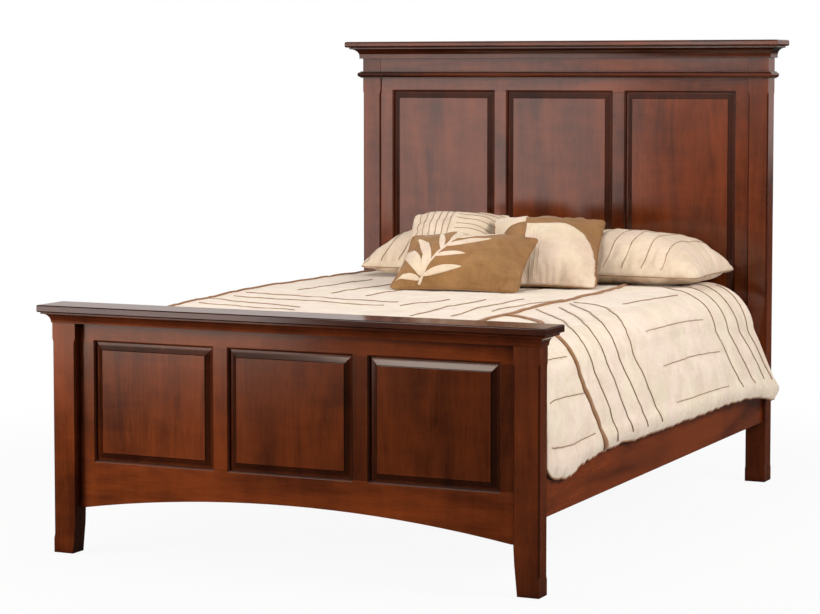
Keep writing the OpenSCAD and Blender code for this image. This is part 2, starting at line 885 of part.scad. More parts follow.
// Saddle bracket with its back at y = 0 and the beam on the side of y > 0.
module beam_bracket() {
    side_x = beam_w / 2;
    difference() {
        union() {
            block([-side_x - steel_t - bracket_wing, side_x + steel_t + bracket_wing], [0, steel_t],
                  [beam_z, beam_z + beam_h]);
            for (side = [0, 1])
                mirror([side, 0, 0])
                    block([side_x, side_x + steel_t], [0, bracket_lip], [beam_z, beam_z + beam_h]);
            block([-side_x - steel_t, side_x + steel_t], [0, bracket_lip], [beam_z - steel_t, beam_z]);
        }
        bracket_screw_set(screw_gap);
    }
}

module beam_brackets() {
    color("dimgray") {
        translate([0, foot_recess + frame_t, 0])
            beam_bracket();
        translate([0, head_face, 0])
            mirror([0, 1, 0])
                beam_bracket();
    }
}

module bracket_screws() {
    color("silver") {
        translate([0, foot_recess + frame_t, 0])
            bracket_screw_set();
        translate([0, head_face, 0])
            mirror([0, 1, 0])
                bracket_screw_set();
    }
}

module bolt_rod(gap = 0) {
    translate([0, leg_y, beam_z - bolt_l / 2 - gap])
        cylinder(r = bolt_r + gap, h = bolt_l + 2 * gap, $fn = round_fn);
}

module centre_beam() {
    color(pale_wood)
        difference() {
            block([-beam_w / 2, beam_w / 2], beam_y, [beam_z, beam_z + beam_h]);
            bolt_rod(bolt_gap);
        }
}

module centre_leg() {
    color(pale_wood)
        difference() {
            block([-beam_w / 2, beam_w / 2], [leg_y - beam_w / 2, leg_y + beam_w / 2], [leg_z, beam_z]);
            bolt_rod(bolt_gap);
            translate([0, leg_y, 0])
                cylinder(r = bolt_r + bolt_gap, h = leg_z + glide_stem_l + bolt_gap, $fn = round_fn);
        }
}

module leg_bolt() {
    color("silver")
        bolt_rod();
}

module leg_glide() {
    color("dimgray")
        translate([0, leg_y, 0]) {
            cylinder(d = glide_d, h = glide_disc_h, $fn = 36);
            cylinder(r = bolt_r, h = leg_z + glide_stem_l, $fn = round_fn);
        }
}

// Nail-on glides under the posts
post_glide_d = 30;
nail_r = 1.5;
nail_l = 18;

module post_glide(gap = 0) {
    cylinder(r = nail_r + gap, h = post_glide_t + nail_l + gap, $fn = round_fn);
}

module post_glide_hole(x, y) {
    translate([x, y, 0])
        post_glide(screw_gap);
}

module post_glides() {
    color("dimgray")
        for (side = [-1, 1]) {
            translate([side * (foot_inner + leg_taper + half_w) / 2, foot_post_d / 2, 0]) {
                cylinder(d = post_glide_d, h = post_glide_t, $fn = 36);
                post_glide();
            }
            translate([side * (head_inner + half_w) / 2, head_y + head_post_d / 2, 0]) {
                cylinder(d = post_glide_d, h = post_glide_t, $fn = 36);
                post_glide();
            }
        }
}

// Foundation and mattress
module slab(z, h, r, ease) {
    x = mattress_w / 2 - r;
    y0 = mattress_y + r;
    y1 = mattress_y + mattress_l - r;
    translate([0, 0, z])
        hull()
            for (p = [[-x, y0], [x, y0], [x, y1], [-x, y1]])
                for (a = [0, 30, 60, 90]) {
                    inset = ease * (1 - cos(a));
                    rise = ease * (1 - sin(a));
                    translate([p[0], p[1], rise])
                        cylinder(r = r - inset, h = h - 2 * rise, $fn = 32);
                }
}

module foundation() {
    color("whitesmoke")
        slab(foundation_z, foundation_h, mattress_corner_r, 4);
}

module mattress() {
    color("white")
        slab(mattress_z, mattress_h, mattress_corner_r, mattress_ease);
}

// Comforter. A station is a share along the bed; a rib is a share from the middle to the hem.
comforter_y0 = foot_y + 4;
comforter_y1 = mattress_y + mattress_l - turn_back;
head_flare = head_y - 5 - comforter_y1;
rib_top_n = 4;
rib_edge_n = 3;
rib_side_n = 5;
rib_n = rib_top_n + rib_edge_n + rib_side_n;
station_n = 3 * channel_n;
foot_dip = 26;
foot_dip_l = 60;
hem_wave = 6;
side_bulge = 9;
hem_dip_foot = 34;
hem_dip_head = 60;
rail_clear = 1.2;
// From this station on the comforter lies level under the pillows.
level_from = 0.6;

function smooth(t) = t * t * (3 - 2 * t);
function clamp01(t) = min(1, max(0, t));

// Depth of the crosswise channels along the bed as a share: 1 in a stitched line, 0 on the puff.
function groove(t) = pow(cos(180 * channel_n * t), 8);

// Height of the hem and its distance from the middle, along the bed.
function hem_height(t) = hem_z
    - hem_dip_foot * exp(-pow((t - 0.06) / 0.09, 2))
    - hem_dip_head * pow(clamp01((t - 0.62) / 0.38), 4)
    + hem_wave * sin(360 * channel_n * t);
function hem_x(t) = rail_outer + hem_off_foot + (hem_off_head - hem_off_foot) * smooth(t)
    + hem_wave / 2 * (1 + sin(360 * channel_n * t + 60));
function top_height(t) = comforter_top
    - comforter_fall * pow(clamp01(1 - t / level_from), 1.3)
    - foot_dip * exp(-t * (comforter_y1 - comforter_y0) / foot_dip_l)
    - channel_depth * groove(t) * clamp01(10 * (level_from - t));
function edge_r(t) = comforter_edge_r
    + (comforter_head_r - comforter_edge_r) * smooth(clamp01((t - level_from) / (1 - level_from)));

// Outer point [x, z] of rib k at station t, for x at or right of the middle.
function outer_point(k, t) =
    let (
        z_top = top_height(t),
        r = edge_r(t),
        edge_x = mattress_w / 2 + drop_t + 10,
        side_k = k - rib_top_n - rib_edge_n,
        a = 90 * (k - rib_top_n) / rib_edge_n,
        s = side_k / rib_side_n,
        z_side = z_top - r,
        bulge = (side_bulge - channel_depth * groove(t)) * sin(180 * s)
    )
    k <= rib_top_n ? [(edge_x - r) * k / rib_top_n, z_top] :
    side_k <= 0 ? [edge_x - r + r * sin(a), z_top - r + r * cos(a)] :
    [edge_x + (hem_x(t) - edge_x) * s + bulge, z_side + (hem_height(t) - z_side) * s];

// Inner point of the same rib: on the mattress, round its edge, then down past the rail.
function inner_point(k, t) =
    let (
        o = outer_point(k, t),
        rail_top = rail_z + rail_h + soft_gap,
        x_rail = rail_outer + rail_clear,
        side_k = k - rib_top_n - rib_edge_n,
        a = 90 * (k - rib_top_n) / rib_edge_n,
        bend_x = mattress_w / 2 - mattress_ease,
        bend_z = mattress_top - mattress_ease,
        bend_r = (mattress_ease + soft_gap) / cos(45 / rib_edge_n),
        x_in = bend_x + bend_r,
        x_hang = x_in + (x_rail - x_in) * clamp01((bend_z - o[1]) / (bend_z - rail_top - 30))
    )
    k <= rib_top_n ? [bend_x * k / rib_top_n, mattress_top + soft_gap] :
    side_k <= 0 ? [bend_x + bend_r * sin(a), bend_z + bend_r * cos(a)] :
    [max(x_hang, o[0] - drop_t), min(o[1], bend_z - 2)];

function rib_y(k, t) =
    let (s = clamp01((k - rib_top_n) / (rib_edge_n + rib_side_n)))
    comforter_y0 + t * (comforter_y1 + head_flare * pow(s, 1.3) - comforter_y0);

function station_ring(t) = concat(
    [for (k = [rib_n:-1:0]) let (p = outer_point(k, t)) [-p[0], rib_y(k, t), p[1]]],
    [for (k = [1:rib_n]) let (p = outer_point(k, t)) [p[0], rib_y(k, t), p[1]]],
    [for (k = [rib_n:-1:0]) let (p = inner_point(k, t)) [p[0], rib_y(k, t), p[1]]],
    [for (k = [1:rib_n]) let (p = inner_point(k, t)) [-p[0], rib_y(k, t), p[1]]]
);

module comforter() {
    across = 2 * rib_n + 1;
    count = 2 * across;
    points = [for (j = [0:station_n]) each station_ring(j / station_n)];
    walls = [for (j = [0:station_n - 1]) for (i = [0:count - 1])
        let (a = j * count + i, b = j * count + (i + 1) % count)
            each [[a, b, b + count], [a, b + count, a + count]]];
    last = station_n * count;
    front = [for (i = [0:across - 2])
        let (a = i, b = i + 1, c = count - 2 - i, d = count - 1 - i) each [[a, c, b], [a, d, c]]];
    back = [for (f = front) [last + f[0], last + f[2], last + f[1]]];
    color(cream)
        polyhedron(points, concat(walls, front, back));
}

// Pillows. Lower and upper crown meet at a seam; the sides pull in between the corners.
seam_half = 1.5;
pillow_nu = 14;
pillow_nv = 12;

cushion_fullness = 3.2;
sleeper_fullness = 2.6;

// Height of a pillow's crown as a share, at u across and v along it, each from -1 to 1.
function crown(u, v, e) = pow((1 - pow(abs(u), e)) * (1 - pow(abs(v), e)), 0.55);
function crown_height(h, u, v, e) = seam_half + (h - seam_half) * crown(u, v, e);
function pillow_point(w, l, u, v, h) =
    [u * w / 2 * (1 - pull_in * (1 - v * v)), v * l / 2 * (1 - pull_in * (1 - u * u)), h];
function share(i, n) = sin(90 * (2 * i / n - 1));

module pillow(w, l, upper, lower, e) {
    nu = pillow_nu;
    nv = pillow_nv;
    row = nu + 1;
    layer = row * (nv + 1);
    up = [for (j = [0:nv]) for (i = [0:nu])
        let (u = share(i, nu), v = share(j, nv)) pillow_point(w, l, u, v, crown_height(upper, u, v, e))];
    down = [for (j = [0:nv]) for (i = [0:nu])
        let (u = share(i, nu), v = share(j, nv)) pillow_point(w, l, u, v, -crown_height(lower, u, v, e))];
    upper_faces = [for (j = [0:nv - 1]) for (i = [0:nu - 1])
        let (a = j * row + i) each [[a, a + row, a + row + 1], [a, a + row + 1, a + 1]]];
    lower_faces = [for (f = upper_faces) [f[0] + layer, f[2] + layer, f[1] + layer]];
    rim = concat([for (i = [0:nu]) i], [for (j = [1:nv]) j * row + nu],
                 [for (i = [nu - 1:-1:0]) nv * row + i], [for (j = [nv - 1:-1:1]) j * row]);
    rim_faces = [for (i = [0:len(rim) - 1])
        let (a = rim[i], b = rim[(i + 1) % len(rim)]) each [[a, b, b + layer], [a, b + layer, a + layer]]];
    polyhedron(concat(up, down), concat(upper_faces, lower_faces, rim_faces));
}

// Sleeping pillows lie flat, side by side, with their backs at the headboard.
low_share = 0.2;
sleeper_low = low_share * sleeper_t;
sleeper_y = head_y + head_recess - sleeper_back - sleeper_l / 2;
sleeper_z = comforter_top + soft_gap + sleeper_low;
sleeper_shift = 50;

function sleeper_x(side) = sleeper_shift + side * (sleeper_w + sleeper_gap) / 2;

module sleeper(side) {
    color(cream)
        translate([sleeper_x(side), sleeper_y, sleeper_z])
            pillow(sleeper_w, sleeper_l, sleeper_t - sleeper_low, sleeper_low, sleeper_fullness);
}

module pillow_left() {
    sleeper(-1);
}

module pillow_right() {
    sleeper(1);
}

// A leaning cushion is [x, turn about Z, tilt, width, length, thickness, height of its front edge].
back_share = 0.3;

// Lowest point of a cushion below its front edge, once it is tilted back.
function cushion_low(tilt, w, l, t) = min([for (j = [0:pillow_nv]) for (i = [0:pillow_nu])
    let (
        u = share(i, pillow_nu),
        v = share(j, pillow_nv),
        q = pillow_point(w, l, u, v, -crown_height(back_share * t, u, v, cushion_fullness))
    )
    (q[1] + l / 2) * sin(tilt) + (q[2] + seam_half) * cos(tilt)]);
function cushion_at(x, turn, tilt, w, l, t) =
    [x, turn, tilt, w, l, t, comforter_top + soft_gap - cushion_low(tilt, w, l, t)];

// A point at p = [across, up the slope, off the seam] of a cushion that stands at y, in the room.
function slope_point(c, y, p) =
    let (along = p[1] * cos(c[2]) - p[2] * sin(c[2]), up = p[1] * sin(c[2]) + p[2] * cos(c[2]))
    [c[0] + p[0] * cos(c[1]) - along * sin(c[1]), y + p[0] * sin(c[1]) + along * cos(c[1]), c[6] + up];

front_u = [-0.95:0.19:0.95];
front_v = [-1:0.1:1];

function cushion_front(c, y) = [for (v = front_v) for (u = front_u)
    let (
        h = crown_height((1 - back_share) * c[5], u, v, cushion_fullness),
        q = pillow_point(c[3], c[4], u, v, h)
    )
    slope_point(c, y, [q[0], q[1] + c[4] / 2, q[2] + seam_half])];
function sleeper_front(side) = [for (v = front_v) for (u = front_u)
    let (
        h = crown_height(sleeper_t - sleeper_low, u, v, sleeper_fullness),
        q = pillow_point(sleeper_w, sleeper_l, u, v, h)
    )
    [q[0] + sleeper_x(side), q[1] + sleeper_y, q[2] + sleeper_z]];

// Where cushion c stands so that its back clears every one of the points by soft_gap.
function lean_y(c, points) = min([for (p = points)
    let (
        dx = p[0] - c[0],
        back = crown_height(back_share * c[5], min(1, abs(dx) / (c[3] / 2)), 0, cushion_fullness),
        s = ((p[2] - c[6]) * cos(c[2]) - seam_half + back + soft_gap) / sin(c[2])
    )
    if (abs(dx) < c[3] / 2) p[1] - (s + dx * sin(c[1])) / cos(c[1])]);

sham_at = cushion_at(sham_x, sham_turn, sham_tilt, sham_w, sham_l, sham_t);
square_at = cushion_at(square_x, square_turn, square_tilt, square_w, square_w, square_t);
lumbar_at = cushion_at(lumbar_x, lumbar_turn, lumbar_tilt, lumbar_w, lumbar_l, lumbar_t);
sham_y = lean_y(sham_at, sleeper_front(-1));
square_y = lean_y(square_at, concat(sleeper_front(-1), sleeper_front(1), cushion_front(sham_at, sham_y)));
lumbar_y = lean_y(lumbar_at, concat(cushion_front(sham_at, sham_y), cushion_front(square_at, square_y)));

module leaning(c, y) {
    back = back_share * c[5];
    translate([c[0], y, c[6]])
        rotate([0, 0, c[1]])
            rotate([c[2], 0, 0])
                translate([0, c[4] / 2, seam_half])
                    pillow(c[3], c[4], c[5] - back, back, cushion_fullness);
}

module sham() {
    color(cream)
        leaning(sham_at, sham_y);
}

module square_cushion() {
    color(brown)
        leaning(square_at, square_y);
}

module lumbar_cushion() {
    color(brown)
        leaning(lumbar_at, lumbar_y);
}

// The bed is centred on the origin, with the floor at z = 0.
module centred() {
    translate([0, -mid_y, 0])
        children();
}

centred() foot_post(-1);  // foot_post_left
centred() foot_post(1);  // foot_post_right
centred() foot_cap();
centred() foot_cap_moulding();
centred() foot_top_rail();
centred() foot_arched_rail();
centred() board_stile(foot_board, -1);  // foot_stile_left
centred() board_stile(foot_board, 1);  // foot_stile_right
centred() board_mullion(foot_board, -1);  // foot_mullion_left
centred() board_mullion(foot_board, 1);  // foot_mullion_right
centred() board_panel(foot_board, 0);  // foot_panel_left
centred() board_panel(foot_board, 1);  // foot_panel_middle
centred() board_panel(foot_board, 2);  // foot_panel_right
centred() head_post(-1);  // head_post_left
centred() head_post(1);  // head_post_right
centred() head_crown();
centred() head_crown_moulding();
centred() head_frieze();
centred() head_bead_moulding();
centred() head_top_rail();
centred() head_bottom_rail();
centred() head_stretcher();
centred() board_stile(head_board, -1);  // head_stile_left
centred() board_stile(head_board, 1);  // head_stile_right
centred() board_mullion(head_board, -1);  // head_mullion_left
centred() board_mullion(head_board, 1);  // head_mullion_right
centred() board_panel(head_board, 0);  // head_panel_left
centred() board_panel(head_board, 1);  // head_panel_middle
centred() board_panel(head_board, 2);  // head_panel_right
centred() side_rail(-1);  // side_rail_left
centred() side_rail(1);  // side_rail_right
centred() cleat(-1);  // cleat_left
centred() cleat(1);  // cleat_right
centred() slats();
centred() slat_screws();
centred() cleat_screws();
centred() rail_hook_plates();
centred() rail_plate_screws();
centred() post_slot_plates();
centred() post_plate_screws();
centred() centre_beam();
centred() beam_brackets();
centred() bracket_screws();
centred() centre_leg();
centred() leg_bolt();
centred() leg_glide();
centred() post_glides();
centred() foundation();
centred() mattress();
centred() comforter();
centred() pillow_left();
centred() pillow_right();
centred() sham();
centred() square_cushion();
centred() lumbar_cushion();
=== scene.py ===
import json
import math

import bpy
import numpy as np
from mathutils import Euler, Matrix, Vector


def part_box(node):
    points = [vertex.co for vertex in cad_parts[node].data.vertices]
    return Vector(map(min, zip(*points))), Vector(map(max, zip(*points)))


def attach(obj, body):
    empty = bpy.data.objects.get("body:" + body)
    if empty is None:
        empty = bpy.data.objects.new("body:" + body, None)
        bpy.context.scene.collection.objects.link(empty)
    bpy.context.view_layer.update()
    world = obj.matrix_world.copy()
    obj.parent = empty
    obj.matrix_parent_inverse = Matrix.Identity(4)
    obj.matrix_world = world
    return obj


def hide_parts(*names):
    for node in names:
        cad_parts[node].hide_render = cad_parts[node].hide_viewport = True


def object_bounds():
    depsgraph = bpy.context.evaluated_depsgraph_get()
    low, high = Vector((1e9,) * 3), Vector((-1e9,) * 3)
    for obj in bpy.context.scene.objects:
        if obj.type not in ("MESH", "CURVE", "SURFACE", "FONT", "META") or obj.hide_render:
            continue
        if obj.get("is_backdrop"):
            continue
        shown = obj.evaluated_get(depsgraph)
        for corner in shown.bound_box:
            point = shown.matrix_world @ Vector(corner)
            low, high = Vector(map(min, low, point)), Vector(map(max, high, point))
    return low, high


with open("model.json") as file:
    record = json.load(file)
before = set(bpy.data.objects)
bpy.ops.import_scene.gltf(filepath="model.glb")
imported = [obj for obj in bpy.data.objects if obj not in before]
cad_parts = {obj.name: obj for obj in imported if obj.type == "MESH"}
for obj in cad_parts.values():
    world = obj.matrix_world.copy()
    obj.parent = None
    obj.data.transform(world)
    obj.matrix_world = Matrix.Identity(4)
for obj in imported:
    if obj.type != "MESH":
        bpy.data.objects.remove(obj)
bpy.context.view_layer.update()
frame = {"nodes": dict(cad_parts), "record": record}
scene = bpy.context.scene
MID_Y = 1.110      # design coordinates start at the front faces of the foot posts

# camera, fitted to points of the photo
cam = bpy.data.objects.new("camera", bpy.data.cameras.new("camera"))
scene.collection.objects.link(cam)
cam.location = (3.3504, -7.4288, 1.4802)
cam.rotation_euler = Euler((math.radians(86.08), 0, math.radians(24.99)))
cam.data.lens = 107.67
cam.data.sensor_width = 36
cam.data.shift_y = -0.0817
scene.camera = cam


# node helpers
def add(tree, kind, inputs=None, **props):
    n = tree.nodes.new("ShaderNode" + kind)
    for k, v in props.items():
        setattr(n, k, v)
    for k, v in (inputs or {}).items():
        if isinstance(v, bpy.types.NodeSocket):
            tree.links.new(v, n.inputs[k])
        else:
            n.inputs[k].default_value = v
    return n


def ramp(tree, fac, stops):
    n = add(tree, "ValToRGB", {"Fac": fac})
    cr = n.color_ramp
    while len(cr.elements) < len(stops):
        cr.elements.new(0.5)
    for e, (p, c) in zip(cr.elements, stops):
        e.position = p
        e.color = (*c, 1) if len(c) == 3 else c
    return n.outputs["Color"]


def new_material(name, **sockets):
    m = bpy.data.materials.new(name)
    m.use_nodes = True
    t = m.node_tree
    t.nodes.clear()
    out = add(t, "OutputMaterial")
    b = add(t, "BsdfPrincipled")
    t.links.new(b.outputs["BSDF"], out.inputs["Surface"])
    for k, v in sockets.items():
        b.inputs[k.replace("_", " ")].default_value = v
    return m, t, b


def noise(t, vec, scale, detail=3.0, rough=0.55, distort=0.0):
    return add(t, "TexNoise", {"Vector": vec, "Scale": scale, "Detail": detail, "Roughness": rough,
                               "Distortion": distort}).outputs["Fac"]


def scaled(t, vec, scale, offset=(0, 0, 0)):
    return add(t, "Mapping", {"Vector": vec, "Scale": scale, "Location": offset}).outputs["Vector"]


def math_node(t, op, a, b=0.0):
    return add(t, "Math", {0: a, 1: b}, operation=op).outputs[0]


def mix_colour(t, fac, a, b, blend="MIX"):
    n = add(t, "Mix", data_type="RGBA", blend_type=blend)
    for k, v in ((0, fac), (6, a), (7, b)):
        if isinstance(v, bpy.types.NodeSocket):
            t.links.new(v, n.inputs[k])
        else:
            n.inputs[k].default_value = v if k == 0 else (*v, 1)
    return n.outputs[2]


# materials, and the two colours of the lacquer's shine
COOL_SHINE, WARM_SHINE = (1, 0.9, 0.86, 1), (1, 0.82, 0.70, 1)


def wood(name, axis, seed, dark, light, shine=0.10, level=0.5, tint=COOL_SHINE, cloud=0.44, askew_shade=0.5,
         matt_edges=False, shade_reach=0.030):
    """Stained hardwood whose grain runs along one axis.

    It has growth figure, curl, fibre streaks and pores. Shade is painted into the colour within shade_reach
    of a corner.
    """
    m, t, b = new_material(name, Specular_IOR_Level=level, Specular_Tint=tint)
    co = add(t, "TexCoord").outputs["Object"]
    i = "xyz".index(axis)

    def stretched(along, across, k):
        s = [across] * 3
        s[i] = along
        return scaled(t, co, s, (seed * 3.17 + k, seed * 1.93, seed * 2.41 + k))

    figure = noise(t, stretched(1.3, 8.5, 0), 1.0, 4.0, 0.55, 1.0)
    bands = noise(t, stretched(0.5, 2.6, 9), 1.0, 2.0, 0.5, 0.6)
    rings = math_node(t, "SINE", math_node(t, "MULTIPLY", bands, 75.0))
    curl = noise(t, stretched(26.0, 6.0, 2), 1.0, 3.0, 0.55, 0.8)
    fibre = noise(t, stretched(6.0, 150.0, 3), 1.0, 3.0, 0.6)
    blotch = noise(t, scaled(t, co, (4.5,) * 3, (seed, seed * 2, 0)), 1.0, 4.0, 0.6)
    pores = noise(t, stretched(26.0, 600.0, 5), 1.0, 1.0)
    tone = math_node(t, "MULTIPLY", figure, 0.62)
    for value, amount, middle in ((rings, 0.045 * cloud, 0.0), (curl, 0.34 * cloud, 0.5), (fibre, 0.16, 0.0),
                                  (blotch, cloud, 0.5), (pores, 0.14, 0.0)):
        part = math_node(t, "MULTIPLY", math_node(t, "SUBTRACT", value, middle), amount)
        tone = math_node(t, "ADD", tone, part)
    mid = [(a + c) / 2 for a, c in zip(dark, light)]
    base = ramp(t, tone, [(0.30, dark), (0.5, mid), (0.72, light)])
    fleck = ramp(t, pores, [(0.30, (0.5, 0.45, 0.45)), (0.40, (1, 1, 1))])
    base = mix_colour(t, 0.22, base, fleck, "MULTIPLY")
    # painted shade: the colour darkens within shade_reach of corners, recesses and overhangs
    near = add(t, "AmbientOcclusion", {"Distance": shade_reach}, samples=6).outputs["AO"]
    corner_shade = ramp(t, near, [(0.32, (0.06, 0.045, 0.04)), (0.62, (0.62, 0.58, 0.56)), (0.90, (1, 1, 1))])
    base = mix_colour(t, 1.0, base, corner_shade, "MULTIPLY")
    # painted shade: faces that stand askew to the board, as in coves and bevels, are darker by askew_shade
    normal = add(t, "VectorMath", {0: add(t, "TexCoord").outputs["Normal"]}, operation="ABSOLUTE").outputs[0]
    face = add(t, "SeparateXYZ", {0: normal}).outputs
    flat = math_node(t, "MAXIMUM", math_node(t, "MAXIMUM", face[0], face[1]), face[2])
    askew = ramp(t, flat, [(0.965, (askew_shade, askew_shade * 0.92, askew_shade * 0.88)), (0.996, (1, 1, 1))])
    base = mix_colour(t, 1.0, base, askew, "MULTIPLY")
    t.links.new(base, b.inputs["Base Color"])
    if matt_edges:
        polish = add(t, "MapRange", {"Value": flat, "From Min": 0.93, "From Max": 0.999, "To Min": 0.04,
                                     "To Max": level})
        t.links.new(polish.outputs["Result"], b.inputs["Specular IOR Level"])
    rough = math_node(t, "ADD", math_node(t, "MULTIPLY", fibre, 0.10), shine)
    t.links.new(rough, b.inputs["Roughness"])
    height = math_node(t, "ADD", math_node(t, "MULTIPLY", fibre, 0.6), math_node(t, "MULTIPLY", pores, 0.4))
    bump = add(t, "Bump", {"Strength": 0.10, "Distance": 0.0005, "Height": height})
    t.links.new(bump.outputs["Normal"], b.inputs["Normal"])
    return m


def cloth(name, light, dark, patch=7.0, weave=850.0, depth=0.25, sheen=0.25, crease=1.0):
    """Brushed fabric: cloudy nap, a fine weave, small creases and a soft sheen."""
    m, t, b = new_material(name, Roughness=0.86, Specular_IOR_Level=0.2, Sheen_Weight=sheen,
                           Sheen_Roughness=0.45)
    co = add(t, "TexCoord").outputs["Object"]
    nap = noise(t, co, patch, 5.0, 0.62, 0.5)
    small = noise(t, co, patch * 9, 3.0)
    tone = math_node(t, "ADD", math_node(t, "MULTIPLY", nap, 0.7), math_node(t, "MULTIPLY", small, 0.3))
    base = ramp(t, tone, [(0.32, dark), (0.62, light)])
    drift = noise(t, scaled(t, co, (1, 1, 1), (3.7, 1.9, 5.3)), patch * 0.6, 3.0)
    hue = ramp(t, drift, [(0.38, (1.0, 0.97, 0.985)), (0.62, (0.985, 1.0, 0.955))])
    t.links.new(mix_colour(t, 1.0, base, hue, "MULTIPLY"), b.inputs["Base Color"])
    grain = noise(t, co, weave, 2.0, 0.7)
    thread = add(t, "TexVoronoi", {"Vector": co, "Scale": weave * 0.8}).outputs["Distance"]
    height = math_node(t, "ADD", grain, thread)
    creases = noise(t, co, 38.0, 3.0, 0.5, 0.8)
    rumple = add(t, "Bump", {"Strength": 0.35 * crease, "Distance": 0.004, "Height": creases})
    bump = add(t, "Bump", {"Strength": depth, "Distance": 0.0005, "Height": height,
                           "Normal": rumple.outputs["Normal"]})
    t.links.new(bump.outputs["Normal"], b.inputs["Normal"])
    return m


def metal(name, colour, rough, metallic):
    m, t, b = new_material(name, Metallic=metallic)
    co = add(t, "TexCoord").outputs["Object"]
    n = noise(t, co, 60.0, 4.0)
    low = tuple(c * 0.7 for c in colour)
    t.links.new(ramp(t, n, [(0.3, low), (0.7, colour)]), b.inputs["Base Color"])
    t.links.new(math_node(t, "ADD", math_node(t, "MULTIPLY", n, 0.25), rough), b.inputs["Roughness"])
    bump = add(t, "Bump", {"Strength": 0.15, "Distance": 0.0004, "Height": noise(t, co, 400.0)})
    t.links.new(bump.outputs["Normal"], b.inputs["Normal"])
    return m


def eased(ob, width):
    """Sanded edges on a sawn board, so that they catch the light."""
    weld = ob.modifiers.new("weld", "WELD")
    weld.merge_threshold = 0.00002
    flat = ob.modifiers.new("flat", "DECIMATE")
    flat.decimate_type = "DISSOLVE"
    flat.angle_limit = math.radians(0.6)
    edge = ob.modifiers.new("edge", "BEVEL")
    edge.width = width
    edge.segments = 2
    edge.limit_method = "ANGLE"
    edge.angle_limit = math.radians(30)
    crisp = ob.modifiers.new("crisp", "EDGE_SPLIT")
    crisp.split_angle = math.radians(9)
    crisp.use_edge_sharp = False
    ob.data.polygons.foreach_set("use_smooth", [True] * len(ob.data.polygons))


STAIN_DARK, STAIN_LIGHT = (0.042, 0.0076, 0.0016), (0.172, 0.0322, 0.0055)
RAW_DARK, RAW_LIGHT = (0.42, 0.28, 0.15), (0.68, 0.5, 0.31)
# boards of one bed differ in tone, and the gains also paint light and shade: the right-hand foot boards and
# the cap darker, the side rails lighter
TONE_AND_LIGHT = {
    "foot_cap": 0.42, "foot_cap_moulding": 0.80, "foot_arched_rail": 1.05, "foot_post_right": 0.78,
    "foot_stile_left": 0.86, "foot_stile_right": 0.68, "foot_mullion_left": 0.90, "foot_mullion_right": 0.56,
    "foot_panel_middle": 0.82, "foot_panel_right": 0.70, "side_rail_left": 1.55, "side_rail_right": 1.55,
    "head_crown_moulding": 0.75, "head_bead_moulding": 0.85, "head_frieze": 1.15, "head_top_rail": 1.12,
    "head_stile_right": 1.15, "head_panel_right": 1.06,
}
# finishes that one board has to itself; shade_reach and askew_shade there set its painted shade, and the top
# rail's paints the shadow under the cap
OWN_FINISH = {
    "foot_cap": {"tint": COOL_SHINE, "level": 0.85, "matt_edges": True},
    "foot_cap_moulding": {"askew_shade": 0.85},
    "foot_top_rail": {"shade_reach": 0.065},
    "foot_post_right": {"shine": 0.20},
    "head_post_left": {"level": 0.42},
}
UPRIGHT = ("post", "stile", "mullion", "panel")
BOARD_EDGE, CAP_EDGE = 0.0008, 0.0004


def finish_of(node):
    """How a stained board's finish departs from the usual one."""
    finish = {"tint": COOL_SHINE if "head" in node else WARM_SHINE}
    # panels' bevels get deeper painted shade
    if "panel" in node:
        finish["askew_shade"] = 0.30
    if "side_rail" in node:
        finish["cloud"] = 0.20
    if "foot_post" in node:
        finish["level"] = 0.36
    finish.update(OWN_FINISH.get(node, {}))
    return finish


PLAIN = {
    "dark_steel": metal("dark_coated_steel", (0.05, 0.05, 0.055), 0.4, 0.6),
    "zinc_screws": metal("zinc_plate", (0.62, 0.62, 0.64), 0.3, 1.0),
    "glide_plastic": metal("moulded_plastic", (0.05, 0.05, 0.05), 0.5, 0.0),
}
SLOT = {part["node"]: part["material_slot"] for part in frame["record"]["subparts"]}
for k, (node, ob) in enumerate(sorted(frame["nodes"].items())):
    slot = SLOT[node]
    if slot == "stained_hardwood":
        axis = "z" if any(word in node for word in UPRIGHT) else "y" if "side_rail" in node else "x"
        tone = TONE_AND_LIGHT.get(node, 1.0)
        material = wood("stain_" + node, axis, 1 + k, [c * tone for c in STAIN_DARK],
                        [c * tone for c in STAIN_LIGHT], **finish_of(node))
    elif slot == "pale_hardwood":
        axis = "x" if node == "slats" else "z" if "leg" in node else "y"
        material = wood("raw_" + node, axis, 1 + k, RAW_DARK, RAW_LIGHT, shine=0.5)
    elif slot in PLAIN:
        material = PLAIN[slot]
    else:
        continue
    ob.data.materials.clear()
    ob.data.materials.append(material)
    if "hardwood" in slot:
        eased(ob, CAP_EDGE if node == "foot_cap" else BOARD_EDGE)

cream = cloth("cream_nap", (0.80, 0.675, 0.555), (0.665, 0.535, 0.42), 11.0)
cream_pillow = cloth("cream_pillow", (0.70, 0.56, 0.425), (0.59, 0.45, 0.33), 13.0)
suede = cloth("brown_suede", (0.305, 0.158, 0.064), (0.205, 0.103, 0.040), 16.0, 1100.0, depth=0.2,
              sheen=0.15, crease=0.5)
ticking = cloth("ticking", (0.84, 0.83, 0.79), (0.72, 0.71, 0.68), 14.0)
ribbon_cloth = cloth("brown_ribbon", (0.33, 0.165, 0.075), (0.22, 0.10, 0.045), 60.0, 1500.0, depth=0.3)
thread_cloth = cloth("brown_thread", (0.37, 0.235, 0.135), (0.25, 0.15, 0.08), 90.0, 2400.0, depth=0.4)


# mesh helpers
def piece(name, verts, faces, material, body="bed", slot=None):
    me = bpy.data.meshes.new(name)
    me.from_pydata(np.asarray(verts, float).reshape(-1, 3).tolist(), [], faces)
    me.validate()
    me.polygons.foreach_set("use_smooth", [True] * len(me.polygons))
    ob = bpy.data.objects.new(name, me)
    scene.collection.objects.link(ob)
    me.materials.append(material)
    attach(ob, body)
    return ob


